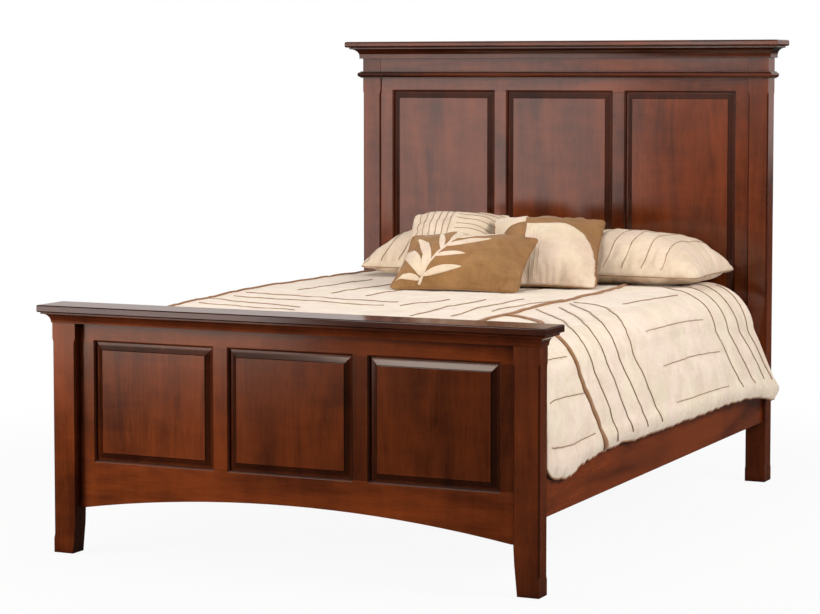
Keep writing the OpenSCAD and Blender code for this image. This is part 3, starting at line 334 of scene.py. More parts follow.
def quads(rows, cols, wrap=False):
    out = []
    for j in range(rows - 1):
        for i in range(cols if wrap else cols - 1):
            a, b = j * cols + i, j * cols + (i + 1) % cols
            out.append((a, b, b + cols, a + cols))
    return out


def two_sheets(upper, lower):
    """One closed mesh from two grids that share their border, and the border's vertex numbers."""
    rows, cols = upper.shape[:2]
    iu = np.arange(rows * cols).reshape(rows, cols)
    il = iu.copy()
    il[1:-1, 1:-1] = rows * cols + np.arange((rows - 2) * (cols - 2)).reshape(rows - 2, cols - 2)
    faces = []
    for j in range(rows - 1):
        for i in range(cols - 1):
            faces.append((int(iu[j, i]), int(iu[j, i + 1]), int(iu[j + 1, i + 1]), int(iu[j + 1, i])))
            faces.append((int(il[j, i]), int(il[j + 1, i]), int(il[j + 1, i + 1]), int(il[j, i + 1])))
    verts = np.concatenate([upper.reshape(-1, 3), lower[1:-1, 1:-1].reshape(-1, 3)])
    rim = np.concatenate([iu[0], iu[-1], iu[:, 0], iu[:, -1]])
    return verts, faces, np.unique(rim)


def normals_of(P):
    n = np.cross(np.gradient(P, axis=1), np.gradient(P, axis=0))
    return n / np.maximum(np.linalg.norm(n, axis=-1, keepdims=True), 1e-12)


def sample(grid, a, b):
    """Bilinear value of a grid at fractional column a and row b."""
    rows, cols = grid.shape[:2]
    a, b = np.clip(a, 0, cols - 1.001), np.clip(b, 0, rows - 1.001)
    i, j = a.astype(int), b.astype(int)
    u, v = (a - i)[..., None], (b - j)[..., None]
    return ((grid[j, i] * (1 - u) + grid[j, i + 1] * u) * (1 - v)
            + (grid[j + 1, i] * (1 - u) + grid[j + 1, i + 1] * u) * v)


def smooth_path(points, step):
    """Points along a Catmull-Rom line through the given ones, about one step apart."""
    p = np.asarray(points, float)
    if len(p) == 2:
        n = max(2, int(np.linalg.norm(p[1] - p[0]) / step))
        return p[0] + (p[1] - p[0]) * np.linspace(0, 1, n + 1)[:, None]
    q = np.vstack([2 * p[0] - p[1], p, 2 * p[-1] - p[-2]])
    out = []
    for a, b, c, d in zip(q[:-3], q[1:-2], q[2:-1], q[3:]):
        n = max(2, int(np.linalg.norm(c - b) / step))
        t = np.linspace(0, 1, n, endpoint=False)[:, None]
        bend = 2 * b + (c - a) * t + (2 * a - 5 * b + 4 * c - d) * t ** 2 + (3 * b - a - 3 * c + d) * t ** 3
        out.append(0.5 * bend)
    return np.vstack(out + [p[-1:]])


def tube(path, radius, sides=6, closed=False):
    p = np.asarray(path, float)
    t = np.gradient(p, axis=0) if not closed else np.roll(p, -1, 0) - np.roll(p, 1, 0)
    t /= np.maximum(np.linalg.norm(t, axis=1, keepdims=True), 1e-9)
    up = np.array([0.0, 0.0, 1.0])
    a = np.cross(t, up)
    bad = np.linalg.norm(a, axis=1) < 0.1
    a[bad] = np.cross(t[bad], [1.0, 0.0, 0.0])
    a /= np.linalg.norm(a, axis=1, keepdims=True)
    b = np.cross(a, t)
    ang = np.arange(sides) * 2 * math.pi / sides
    r = np.broadcast_to(radius, len(p))[:, None, None]
    v = p[:, None] + r * (np.cos(ang)[None, :, None] * a[:, None] + np.sin(ang)[None, :, None] * b[:, None])
    f = quads(len(p), sides, True)
    if closed:
        k = (len(p) - 1) * sides
        f += [(k + i, k + (i + 1) % sides, (i + 1) % sides, i) for i in range(sides)]
    else:
        f += [tuple(range(sides - 1, -1, -1)), tuple(len(p) * sides - sides + i for i in range(sides))]
    return v.reshape(-1, 3), f


def join(parts):
    verts, faces, n = [], [], 0
    for v, f in parts:
        verts.append(v)
        faces += [tuple(i + n for i in q) for q in f]
        n += len(v)
    return np.vstack(verts), faces


def hash_noise(x, y, scale, seed=0):
    """Smooth value noise from -1 to 1 on plain numbers, the same on each run."""
    x, y = np.asarray(x, float) / scale + seed * 17.3, np.asarray(y, float) / scale + seed * 5.7
    xi, yi = np.floor(x), np.floor(y)
    u, v = x - xi, y - yi
    u, v = u * u * (3 - 2 * u), v * v * (3 - 2 * v)

    def h(a, b):
        s = np.sin(a * 127.1 + b * 311.7 + seed * 74.7) * 43758.5453
        return (s - np.floor(s)) * 2 - 1

    return ((h(xi, yi) * (1 - u) + h(xi + 1, yi) * u) * (1 - v)
            + (h(xi, yi + 1) * (1 - u) + h(xi + 1, yi + 1) * u) * v)


def swell(ob, held, pressure, grow, cap, frames=20):
    """Swells cloth by a little pressure. The held vertices stay, and no other moves more than cap."""
    me = ob.data
    rest = np.zeros(len(me.vertices) * 3)
    me.vertices.foreach_get("co", rest)
    rest = rest.reshape(-1, 3)
    vg = ob.vertex_groups.new(name="held")
    vg.add([int(i) for i in held], 1.0, "REPLACE")
    mod = ob.modifiers.new("cloth", "CLOTH")
    s = mod.settings
    s.quality = 6
    s.mass = 0.25
    s.tension_stiffness = s.compression_stiffness = 12
    s.shear_stiffness = 6
    s.bending_stiffness = 0.25
    s.use_pressure = True
    s.uniform_pressure_force = pressure
    s.vertex_group_mass = "held"
    s.shrink_min = s.shrink_max = -grow
    s.effector_weights.gravity = 0
    mod.collision_settings.use_collision = False
    mod.point_cache.frame_start, mod.point_cache.frame_end = 1, frames
    for f in range(1, frames + 1):
        scene.frame_set(f)
    ev = ob.evaluated_get(bpy.context.evaluated_depsgraph_get())
    now = np.zeros(len(rest) * 3)
    ev.data.vertices.foreach_get("co", now)
    move = now.reshape(-1, 3) - rest
    size = np.linalg.norm(move, axis=1, keepdims=True)
    move *= cap * np.tanh(size / cap) / np.maximum(size, 1e-9)
    ob.modifiers.remove(mod)
    ob.vertex_groups.remove(vg)
    me.vertices.foreach_set("co", (rest + move).ravel())
    me.update()
    scene.frame_set(1)


def grid_of(ob, rows, cols):
    co = np.zeros(len(ob.data.vertices) * 3)
    ob.data.vertices.foreach_get("co", co)
    return co.reshape(-1, 3)[:rows * cols].reshape(rows, cols, 3)


# comforter, by a distance g over the cloth from its middle and a share t of its length from the foot
Y0, Y1, FLARE = 0.064, 1.992, 0.173
G_TOP, G_ARC, G_SIDE = 0.686, 0.176, 0.30
G_END = G_TOP + G_ARC + G_SIDE
K_TOP, K_ARC, K_HEM = 4, 7, 12      # rib numbers where the top, the rounded edge and the hanging side end
TOP_Z, HEM_Z, EDGE_X = 0.737, 0.362, 0.798
EDGE_R, EDGE_R_MORE = 0.112, 0.053
RAIL_OUTER, POST_FLUSH = 0.795, 0.806
HEM_RUN = 2.1                       # length of the hem
PAD_X, PAD_Z, PAD_R, PAD_TOP = 0.722, 0.632, 0.0406, 0.6723     # the mattress that the lining lies on
RAIL_TOP, RAIL_GAP = 0.4173, 0.0012
SIDE_THICK = 0.026


def unit(t):
    return np.clip(t, 0, 1)


def ease(t):
    return t * t * (3 - 2 * t)


def ribs(g):
    """The rib number of a distance from the middle."""
    arc = K_TOP + (K_ARC - K_TOP) * (g - G_TOP) / G_ARC
    hang = K_ARC + (K_HEM - K_ARC) * (g - G_TOP - G_ARC) / G_SIDE
    return np.where(g < G_TOP, K_TOP * g / G_TOP, np.where(g < G_TOP + G_ARC, arc, hang))


def by_rib(k, top, arc, hang):
    """Picks the value of the top, the rounded edge or the hanging side."""
    return np.where(k <= K_TOP, top, np.where(k <= K_ARC, arc, hang))


def arc_angle(k):
    return np.radians(90 / (K_ARC - K_TOP) * (k - K_TOP))


def comforter_outer(g, t):
    k = ribs(np.abs(g))
    top = TOP_Z - 0.030 * unit(1 - t / 0.6) ** 1.3 - 0.026 * np.exp(-t * (Y1 - Y0) / 0.060)
    r = EDGE_R + EDGE_R_MORE * ease(unit((t - 0.6) / 0.4))
    hem_z = HEM_Z - 0.034 * np.exp(-((t - 0.06) / 0.09) ** 2) - 0.056 * unit((t - 0.62) / 0.38) ** 4
    corner = 0.034 * unit(1 - (1 - t) * HEM_RUN / 0.07) ** 2 + 0.022 * unit(1 - t * HEM_RUN / 0.05) ** 2
    hem_x = RAIL_OUTER + 0.022 + 0.035 * ease(t) + 0.006 * unit((t - 0.8) / 0.2) ** 2
    a, s = arc_angle(k), (k - K_ARC) / (K_HEM - K_ARC)
    x = by_rib(k, (EDGE_X - r) * k / K_TOP, EDGE_X - r + r * np.sin(a),
               EDGE_X + (hem_x - EDGE_X) * s + 0.009 * np.sin(np.pi * unit(s)))
    flush = POST_FLUSH + (x - POST_FLUSH) * (1 - np.exp(-t * HEM_RUN / 0.05))
    x = np.where(x > POST_FLUSH, flush, x)
    z = by_rib(k, top, top - r + r * np.cos(a),
               top - r + (hem_z - top + r) * s + corner * unit(s) ** 5)
    y = Y0 + t * (Y1 + FLARE * unit((k - K_TOP) / (K_HEM - K_TOP)) ** 1.3 - Y0) - MID_Y
    return np.stack([np.sign(g) * x, y, z], -1)


def comforter_inner(g, t):
    k = ribs(np.abs(g))
    o = comforter_outer(np.abs(g), t)
    x_in, x_rail = PAD_X + PAD_R, RAIL_OUTER + RAIL_GAP
    a = arc_angle(k)
    hang = x_in + (x_rail - x_in) * unit((PAD_Z - o[..., 2]) / (PAD_Z - RAIL_TOP - 0.030))
    x = by_rib(k, PAD_X * k / K_TOP, PAD_X + PAD_R * np.sin(a), np.maximum(hang, o[..., 0] - SIDE_THICK))
    z = by_rib(k, PAD_TOP, PAD_Z + PAD_R * np.cos(a), np.minimum(o[..., 2], PAD_Z - 0.002))
    return np.stack([np.sign(g) * x, o[..., 1], z], -1)


# stitched lines as (distance from the middle, share of the length)
LINES = [
    [(0.452, 0.405), (0.60, 0.315), (0.71, 0.218), (0.80, 0.186), (0.92, 0.205), (1.150, 0.252)],
    [(0.50, 0.445), (0.62, 0.36), (0.72, 0.27), (0.81, 0.243), (0.94, 0.266), (1.135, 0.308)],
    [(0.49, 0.505), (0.62, 0.415), (0.72, 0.33), (0.82, 0.297), (0.96, 0.325), (1.135, 0.366)],
    [(0.478, 0.543), (0.60, 0.50), (0.72, 0.405), (0.83, 0.360), (0.96, 0.385), (1.135, 0.424)],
    [(0.652, 0.535), (0.682, 0.64), (0.712, 0.741)], [(0.812, 0.44), (0.824, 0.727)],
    [(0.944, 0.478), (0.946, 0.761)], [(1.09, 0.505), (1.092, 0.75)],
    [(0.60, 0.86), (0.70, 0.80), (0.828, 0.785), (0.96, 0.80), (1.11, 0.822)],
    [(0.62, 0.92), (0.72, 0.865), (0.83, 0.85), (0.97, 0.865), (1.10, 0.885)],
    [(0.66, 0.965), (0.74, 0.925), (0.834, 0.91), (0.96, 0.93), (1.08, 0.95)],
    [(0.72, 0.985), (0.838, 0.968), (0.96, 0.977), (1.08, 0.99)],
    [(0.78, 0.02), (0.80, 0.103)], [(0.90, 0.01), (0.928, 0.134)], [(1.06, 0.01), (1.084, 0.165)],
    [(0.0, 0.379), (0.066, 0.505)], [(0.13, 0.273), (0.186, 0.517)], [(0.25, 0.298), (0.288, 0.558)],
    [(0.332, 0.365), (0.408, 0.583)], [(0.16, 0.62), (0.22, 0.80)],
    [(-0.656, 0.466), (-0.058, 0.433)], [(-0.654, 0.419), (-0.058, 0.378)], [(-0.69, 0.368), (-0.306, 0.321)],
    [(-0.662, 0.303), (-0.28, 0.276)],
    [(-0.536, 0.544), (-0.498, 0.786)], [(-0.384, 0.519), (-0.332, 0.722)], [(-0.242, 0.506), (-0.182, 0.68)],
    [(-0.30, 0.10), (-0.27, 0.23)], [(-0.12, 0.08), (-0.10, 0.22)], [(0.10, 0.07), (0.12, 0.22)],
    [(0.30, 0.08), (0.31, 0.20)],
    [(-0.72, 0.22), (-0.84, 0.20), (-1.10, 0.243)], [(-0.72, 0.27), (-0.84, 0.25), (-1.10, 0.302)],
    [(-0.72, 0.33), (-0.84, 0.31), (-1.10, 0.360)], [(-0.74, 0.405), (-0.86, 0.38), (-1.10, 0.418)],
    [(-0.812, 0.50), (-0.824, 0.727)], [(-0.944, 0.50), (-0.946, 0.761)], [(-1.09, 0.505), (-1.092, 0.75)],
    [(-0.70, 0.81), (-0.828, 0.785), (-1.11, 0.822)], [(-0.72, 0.865), (-0.83, 0.85), (-1.10, 0.885)],
    [(-0.74, 0.925), (-0.834, 0.91), (-1.08, 0.95)],
    [(-0.78, 0.02), (-0.80, 0.103)], [(-0.90, 0.01), (-0.928, 0.134)], [(-1.06, 0.01), (-1.084, 0.165)],
]
# ribbons in the same way, and the width of each
RIBBONS = [
    [(0.395, 0.10), (0.40, 0.26), (0.414, 0.34), (0.43, 0.45), (0.45, 0.70), (0.455, 0.985)],
    [(0.405, 0.325), (0.50, 0.30), (0.60, 0.235), (0.70, 0.150), (0.79, 0.124), (0.90, 0.137), (1.02, 0.171),
     (1.161, 0.209)],
    [(-0.72, 0.12), (-0.84, 0.124), (-0.95, 0.15), (-1.161, 0.209)],
    [(-0.700, 0.04), (-0.702, 0.5), (-0.700, 0.985)],
]
RIBBON_WIDTH = (0.021, 0.021, 0.021, 0.011)
ALONG = 2.0      # metres of cloth for a share of 1, near enough to draw lines with


def cloth_path(line, step):
    return smooth_path([(g, t * ALONG) for g, t in line], step)


NU, NV, TURN = 216, 300, 4
GS = G_END * np.linspace(-1, 1, NU + 1)
TS = np.linspace(0, 1, NV + 1)
G, T = np.meshgrid(GS, TS)
plain = comforter_outer(G, T)
inner = comforter_inner(G, T)


def distance_to(paths):
    """How far each grid point is from the nearest of the paths, in metres of cloth."""
    out = np.full(G.shape, 9.0)
    for path in paths:
        for a in cloth_path(path, 0.01):
            out = np.minimum(out, np.hypot(G - a[0], T * ALONG - a[1]))
    return out


far, far_ribbon = distance_to(LINES), distance_to(RIBBONS)
side = unit((np.abs(G) - G_TOP - 0.1) / 0.2)
hem = unit((np.abs(G) - (G_END - 0.085)) / 0.085)
low = unit((np.abs(G) - G_TOP) / 0.06)
Y = T * (Y1 - Y0)
# broad waves, folds of the side, stitched furrows and their puckers, then the hem's puckers and its bulge
lift = 0.0030 * hash_noise(plain[..., 0], plain[..., 1], 0.16, 1) + 0.0016 * hash_noise(G, Y, 0.055, 2)
lift += side * (0.0055 * hash_noise(Y, G * 0.25, 0.11, 3)
                + 0.0034 * unit(far / 0.03) * hash_noise(Y, G * 0.14, 0.032, 4))
lift -= (0.0028 - 0.0008 * low) * np.exp(-(far / 0.009) ** 2)
lift += (0.0010 + 0.0014 * low) * np.exp(-((far - 0.022) / 0.016) ** 2) * hash_noise(G, Y, 0.021, 5)
lift += hem ** 1.3 * (0.0032 * hash_noise(Y, G * 0.10, 0.050, 6) + 0.0052 * hash_noise(Y, G * 0.04, 0.013, 8))
lift += 0.0065 * np.sin(np.pi * hem) - 0.006 * hem ** 4
# the end at the foot lies flush with the post
lift *= 1 - 0.85 * side * np.exp(-Y / 0.035)
outer = plain + normals_of(plain) * lift[..., None]
middle, half = (outer + inner) / 2, (outer - inner) / 2
ang = np.linspace(0, math.pi / 2, TURN + 1)[1:]


def widened(mid, half):
    """Rounds the border of a padded sheet by extra rows and columns that turn to its inner side."""
    for axis in (1, 0):
        for end in (0, 1):
            m = np.moveaxis(mid, axis, 0)
            h = np.moveaxis(half, axis, 0)
            e, f = (m[0], m[3]) if end == 0 else (m[-1], m[-4])
            he = h[0] if end == 0 else h[-1]
            d = e - f
            d /= np.maximum(np.linalg.norm(d, axis=-1, keepdims=True), 1e-9)
            r = np.minimum(np.linalg.norm(he, axis=-1, keepdims=True), 0.013)
            mm = np.stack([e + d * r * math.sin(a) * 0.9 for a in ang])
            hh = np.stack([he * max(math.cos(a), 0.0) for a in ang])
            hh[-1] = 0
            if end == 0:
                m, h = np.concatenate([mm[::-1], m]), np.concatenate([hh[::-1], h])
            else:
                m, h = np.concatenate([m, mm]), np.concatenate([h, hh])
            mid, half = np.moveaxis(m, 0, axis), np.moveaxis(h, 0, axis)
    return mid, half


middle, half = widened(middle, half)
verts, faces, rim = two_sheets(middle + half, middle - half)
comforter = piece("comforter_quilt", verts, faces, cream, "bed", "comforter_cream")
rows, cols = middle.shape[:2]
held = set(range(rows * cols, len(verts))) | set(int(i) for i in rim)
near = np.pad(np.minimum(far, far_ribbon), TURN, mode="edge")
held |= set(np.nonzero((near < 0.010).ravel())[0].tolist())
swell(comforter, held, pressure=2.5, grow=0.05, cap=0.0065, frames=14)
# the quilt lies level where the pillows rest on it
quilt = grid_of(comforter, rows, cols)
under = (np.pad(T, TURN, mode="edge") > 0.56) & (quilt[..., 2] > 0.7)
quilt[..., 2] = np.where(under, np.minimum(quilt[..., 2], TOP_Z - 0.0002), quilt[..., 2])
co = np.zeros(len(comforter.data.vertices) * 3)
comforter.data.vertices.foreach_get("co", co)
co[:rows * cols * 3] = quilt.ravel()
comforter.data.vertices.foreach_set("co", co)
comforter.data.update()
quilt_n = normals_of(quilt)
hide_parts("comforter")


def on_quilt(g, t, lift):
    """Points and normals on the finished quilt, lifted off it."""
    a = (np.asarray(g) / G_END + 1) / 2 * NU + TURN
    b = np.asarray(t) * NV + TURN
    n = sample(quilt_n, a, b)
    n /= np.linalg.norm(n, axis=-1, keepdims=True)
    return sample(quilt, a, b) + n * lift, n


def strip(points, normals, width, thick):
    """A flat tape along points, as a low bar with rounded edges."""
    t = np.gradient(points, axis=0)
    t /= np.linalg.norm(t, axis=1, keepdims=True)
    b = np.cross(normals, t)
    b /= np.linalg.norm(b, axis=1, keepdims=True)
    w = np.broadcast_to(width, len(points))[:, None]
    ring = [(-1, -0.6), (-0.85, 0.7), (0, 1), (0.85, 0.7), (1, -0.6)]
    v = np.stack([points + b * w / 2 * x + normals * thick * z for x, z in ring], 1)
    f = quads(len(points), len(ring), True)
    return v.reshape(-1, 3), f


tapes = []
for line in LINES:
    p = cloth_path(line, 0.008)
    wob = 0.0012 * hash_noise(p[:, 0] * 3, p[:, 1] * 3, 0.05, 7)
    q, n = on_quilt(p[:, 0] + wob, p[:, 1] / ALONG + wob * 0.5, 0.0018)
    on_top = unit((0.74 - np.abs(p[:, 0])) / 0.06)
    tapes.append(strip(q, n, 0.0026 + 0.0010 * on_top, 0.0016))
piece("comforter_stitching", *join(tapes), thread_cloth, "bed", "cushion_brown")
tapes = []
for line, width in zip(RIBBONS, RIBBON_WIDTH):
    p = cloth_path(line, 0.008)
    q, n = on_quilt(p[:, 0], p[:, 1] / ALONG, 0.0020)
    on_top = unit((0.76 - np.abs(p[:, 0])) / 0.06)
    tapes.append(strip(q, n, width - 0.003 * on_top, 0.0020 + 0.0022 * on_top[:, None]))
piece("comforter_ribbons", *join(tapes), ribbon_cloth, "bed", "cushion_brown")
hems = [tube((quilt[:, i] + quilt_n[:, i] * 0.001)[2:-2], 0.0028) for i in (1, cols - 2)]
piece("comforter_piping", *join(hems), ribbon_cloth, "bed", "cushion_brown")


# pillows, by u across and v along, each from -1 to 1
PULL, CROWN = 0.05, 0.55
CELL, SKIN = 0.0085, 0.002


def pillow_grid(w, l, upper, lower, e, nu, nv, pull=PULL, p=CROWN):
    def spread(n):
        k = np.linspace(-1, 1, n + 1)
        return 0.5 * k + 0.5 * np.sin(k * math.pi / 2)

    u, v = np.meshgrid(spread(nu), spread(nv))
    x, y = u * w / 2 * (1 - pull * (1 - v * v)), v * l / 2 * (1 - pull * (1 - u * u))
    round_off = 1 - 0.06 * (np.abs(u) * np.abs(v)) ** 12
    x, y = x * round_off, y * round_off
    c = (np.maximum(1 - np.abs(u) ** e, 0) * np.maximum(1 - np.abs(v) ** e, 0)) ** p
    return u, v, np.stack([x, y, upper * c], -1), np.stack([x, y, -lower * c], -1)


def pillow(node, material, slot, size, place, pipe, e, share, seed, cap=0.012, pull=PULL, p=CROWN):
    """A crowned closed cover, swollen as cloth with its seam held, and its piping. Returns its front.

    e says how square the crown is, p how full, and share how much of the thickness lies under the seam.
    """
    name = node + "_cover"
    w, l, thick = size
    nu, nv = int(w / CELL), int(l / CELL)
    nu, nv = nu - nu % 2, nv - nv % 2
    u, v, up, low = pillow_grid(w, l, thick * (1 - share) - SKIN, thick * share - SKIN, e, nu, nv, pull, p)
    edge_gap = np.minimum((1 - np.abs(u)) * w / 2, (1 - np.abs(v)) * l / 2)
    along = np.where((1 - np.abs(u)) * w < (1 - np.abs(v)) * l, v * l / 2, u * w / 2)
    seam_waves = hash_noise(along, edge_gap * 0.2, 0.013, seed + 1)
    pucker = 0.0035 * np.exp(-(edge_gap / 0.035) ** 2) * unit(edge_gap / 0.012) * seam_waves
    broad = (0.0045 * hash_noise(u * w, v * l, 0.11, seed + 2)
             + 0.0022 * hash_noise(u * w * 0.5, v * l, 0.045, seed + 3))
    bump = (pucker + broad * unit(edge_gap / 0.05))[..., None]
    up = up + bump * normals_of(up)
    low = low + bump * np.array([0, 0, 0.4])
    verts, faces, rim = two_sheets(up, low)
    ob = piece(name, place(verts), faces, material, node, slot)
    swell(ob, rim, pressure=3.0, grow=0.04, cap=cap)
    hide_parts(node)
    g = grid_of(ob, nv + 1, nu + 1)
    seam = np.concatenate([g[0, :-1], g[:-1, -1], g[-1, :0:-1], g[:0:-1, 0]])
    piece(name + "_piping", *tube(seam, 0.0022, closed=True), pipe, node, "cushion_brown")
    sub = ob.modifiers.new("round", "SUBSURF")
    sub.levels = sub.render_levels = 1
    return Face(g, u, v, node)


def flat_at(x, y, z):
    return lambda p: p + np.array([x, y - MID_Y, z])


def leaning_at(x, turn, tilt, length):
    a, b = math.radians(turn), math.radians(tilt)
    rx = np.array([[1, 0, 0], [0, math.cos(b), -math.sin(b)], [0, math.sin(b), math.cos(b)]])
    rz = np.array([[math.cos(a), -math.sin(a), 0], [math.sin(a), math.cos(a), 0], [0, 0, 1]])
    return lambda p: (p + [0, length / 2, 0.0015]) @ (rz @ rx).T + np.array([x, -MID_Y, 0])


class Face:
    """The crowned front of a finished pillow."""

    def __init__(self, grid, u, v, body):
        self.grid, self.n, self.body = grid, normals_of(grid), body
        self.u, self.v = u[0], v[:, 0]

    def at(self, u, v, lift):
        a = np.interp(u, self.u, np.arange(len(self.u)))
        b = np.interp(v, self.v, np.arange(len(self.v)))
        n = sample(self.n, a, b)
        n /= np.linalg.norm(n, axis=-1, keepdims=True)
        return sample(self.grid, a, b) + n * np.asarray(lift)[..., None], n

    def lines(self, name, paths, material, width, thick):
        """Stitched lines along paths of (u, v)."""
        bars = []
        for path in paths:
            q = smooth_path(path, 0.02)
            pos, n = self.at(q[:, 0], q[:, 1], np.full(len(q), 0.0010))
            bars.append(strip(pos, n, width, thick))
        piece(name, *join(bars), material, self.body, "cushion_brown")

    def patches(self, name, grids, material, thick=0.0022):
        """Applied pieces of cloth, each a grid of (u, v) whose border is turned under."""
        parts = []
        for u, v in grids:
            u, v = np.pad(u, 1, mode="edge"), np.pad(v, 1, mode="edge")
            h = np.full(u.shape, thick)
            h[[0, -1]] = h[:, [0, -1]] = -0.004
            pos, n = self.at(u, v, h)
            parts.append((pos.reshape(-1, 3), quads(*u.shape)))
        piece(name, *join(parts), material, self.body, "pillow_cream")


SLEEPER, SLEEPER_Y, SLEEPER_Z = (0.645, 0.470, 0.170), 1.929, 0.7713
# where each stitched line of a sleeping pillow runs, and how much it leans
SLEEPER_LINES = [(-0.86, 0.08), (-0.64, 0.04), (-0.43, 0.0), (-0.22, 0.03), (-0.01, 0.0), (0.20, 0.04),
                 (0.42, 0.0), (0.64, -0.05)]
for node, middle_x, seed in (("pillow_left", -0.2775, 11), ("pillow_right", 0.3775, 21)):
    place = flat_at(middle_x, SLEEPER_Y, SLEEPER_Z)
    front = pillow(node, cream_pillow, "pillow_cream", SLEEPER, place, thread_cloth, e=2.6, share=0.2,
                   seed=seed)
    paths = [[(x - 0.07, -0.975), (x - 0.03, -0.86 + d), (x, -0.45), (x + 0.06, 0.0), (x + 0.18 + d, 0.60)]
             for x, d in SLEEPER_LINES]
    front.lines(node + "_lines", paths, thread_cloth, 0.0022, 0.0010)

# leaning cushions: middle in x, turn, tilt, width, length and thickness
LEANING = {
    "sham": (-0.150, 14, 28.5, 0.360, 0.470, 0.105),
    "square_cushion": (0.203, 15, 33, 0.405, 0.405, 0.110),
    "lumbar_cushion": (-0.016, 6, 33, 0.470, 0.314, 0.100),
}
LEAN_E, LEAN_SHARE = 3.2, 0.3
FRONT = {}
for k, (node, (x, turn, tilt, w, l, thick)) in enumerate(LEANING.items()):
    base = leaning_at(x, turn, tilt, l)
    up, low = pillow_grid(w, l, thick * (1 - LEAN_SHARE), thick * LEAN_SHARE, LEAN_E, 60, 60)[2:]
    q = base(np.concatenate([up.reshape(-1, 3), low.reshape(-1, 3)]))
    lo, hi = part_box(node)
    shift = np.array([0, hi[1] - q[:, 1].max(), lo[2] - q[:, 2].min()])

    def place(points, base=base, shift=shift):
        return base(points) + shift

    material, slot = (cream_pillow, "pillow_cream") if node == "sham" else (suede, "cushion_brown")
    FRONT[node] = pillow(node, material, slot, (w, l, thick), place, material, LEAN_E, LEAN_SHARE,
                         seed=31 + 10 * k, cap=0.009, pull=0.075, p=0.82)

# sham: curved lines down its left half, level lines beside them
down = [[(x + 0.05, 0.97), (x, 0.6), (x - 0.02, 0.2), (x, -0.3), (x + 0.05, -0.93)]
        for x in (-0.80, -0.64, -0.49, -0.34, -0.20, -0.08)]
level = [[(0.04, y), (0.5, y - 0.03), (0.93, y - 0.05)] for y in np.arange(0.88, -0.90, -0.16)]
FRONT["sham"].lines("sham_lines", down + level, thread_cloth, 0.0020, 0.0010)


# square cushion: a cream corner cut by a brown quarter disc, and a large cream panel with a rounded corner
def rows_between(v0, v1, left, right, n, m):
    """A grid of n rows from v0 to v1, each of m points from the left edge to the right one at its v."""
    v = np.linspace(v0, v1, n)[:, None] * np.ones(m)
    s = np.linspace(0, 1, m)[None]
    return left + (right(v) - left) * s, v


def disc_edge(v):
    return np.minimum(-0.36, -0.36 - 0.56 * np.sqrt(unit(1 - (v / 0.40) ** 2)))


def panel_edge(v):
    return 0.16 + 0.81 * np.sqrt(unit(1 - unit((v + 0.35) / 0.695) ** 2))


corner = rows_between(0.02, 0.975, -0.975, disc_edge, 30, 26)
panel = rows_between(-0.992, 0.34, -0.33, panel_edge, 60, 44)
FRONT["square_cushion"].patches("square_cushion_applied", [corner, panel], cream_pillow)
tucks = [[(x, 0.31), (x + 0.01, -0.2), (x, -0.93)] for x in (-0.24, -0.17, -0.10, -0.03)]
FRONT["square_cushion"].lines("square_cushion_tucks", tucks, cream_pillow, 0.0036, 0.0024)

# lumbar cushion: a leafy sprig, its leaves set alternately along a bent stem
SPRIG_W, SPRIG_L, SPRIG_SCALE = 0.455, 0.310, 0.62


def sprig(stem, leaves, width):
    """Leaves as grids of (u, v). Each is set at a share of the stem, at an angle and with a length."""
    path = smooth_path(stem, 0.02)
    run = np.linspace(0, 1, len(path))
    out = []
    for s, angle, length in leaves:
        base = np.array([np.interp(s, run, path[:, 0]), np.interp(s, run, path[:, 1])])
        t = np.linspace(0, 1, 16)
        bend = np.radians(angle + 16 * np.sign(angle - 90) * t)
        ahead = np.stack([np.cos(bend) / SPRIG_W * SPRIG_SCALE, np.sin(bend) / SPRIG_L * SPRIG_SCALE], 1)
        aside = np.stack([-np.sin(bend) / SPRIG_W * SPRIG_SCALE, np.cos(bend) / SPRIG_L * SPRIG_SCALE], 1)
        spine = base + np.vstack([[0, 0], np.cumsum(length / 15 * ahead, 0)[:-1]])
        half = width * length * np.sin(np.pi * t ** 0.85) ** 0.8 + 0.0005
        g = spine[:, None] + aside[:, None] * (half[:, None] * np.linspace(-1, 1, 7))[..., None]
        out.append((g[..., 0], g[..., 1]))
    return out


stem = [(-0.52, -0.955), (-0.49, -0.86), (-0.40, -0.50), (-0.24, -0.05), (-0.10, 0.40), (0.0, 0.74)]
leaves = [(0.04, 160, 0.34), (0.06, 120, 0.78), (0.10, 92, 0.52), (0.08, 20, 0.44), (0.24, 112, 0.60),
          (0.34, 14, 0.36), (0.46, 98, 0.40), (0.54, 26, 0.52), (0.62, 74, 0.46), (0.72, 34, 0.56),
          (0.80, 102, 0.30), (0.86, 58, 0.34)]
path = smooth_path(stem, 0.03)
ahead = np.gradient(path, axis=0)
aside = np.stack([-ahead[:, 1], ahead[:, 0]], 1) / np.linalg.norm(ahead, axis=1, keepdims=True)
g = path[:, None] + aside[:, None] * (np.linspace(-1, 1, 5) * 0.020)[None, :, None]
shapes = sprig(stem, leaves, 0.090) + [(g[..., 0], g[..., 1])]
FRONT["lumbar_cushion"].patches("lumbar_cushion_sprig", shapes, cream_pillow, 0.0018)

# mattress and foundation
SLAB_X, SLAB_Y0, SLAB_Y1, SLAB_CORNER = 0.762, 0.070 - MID_Y, 2.102 - MID_Y, 0.076


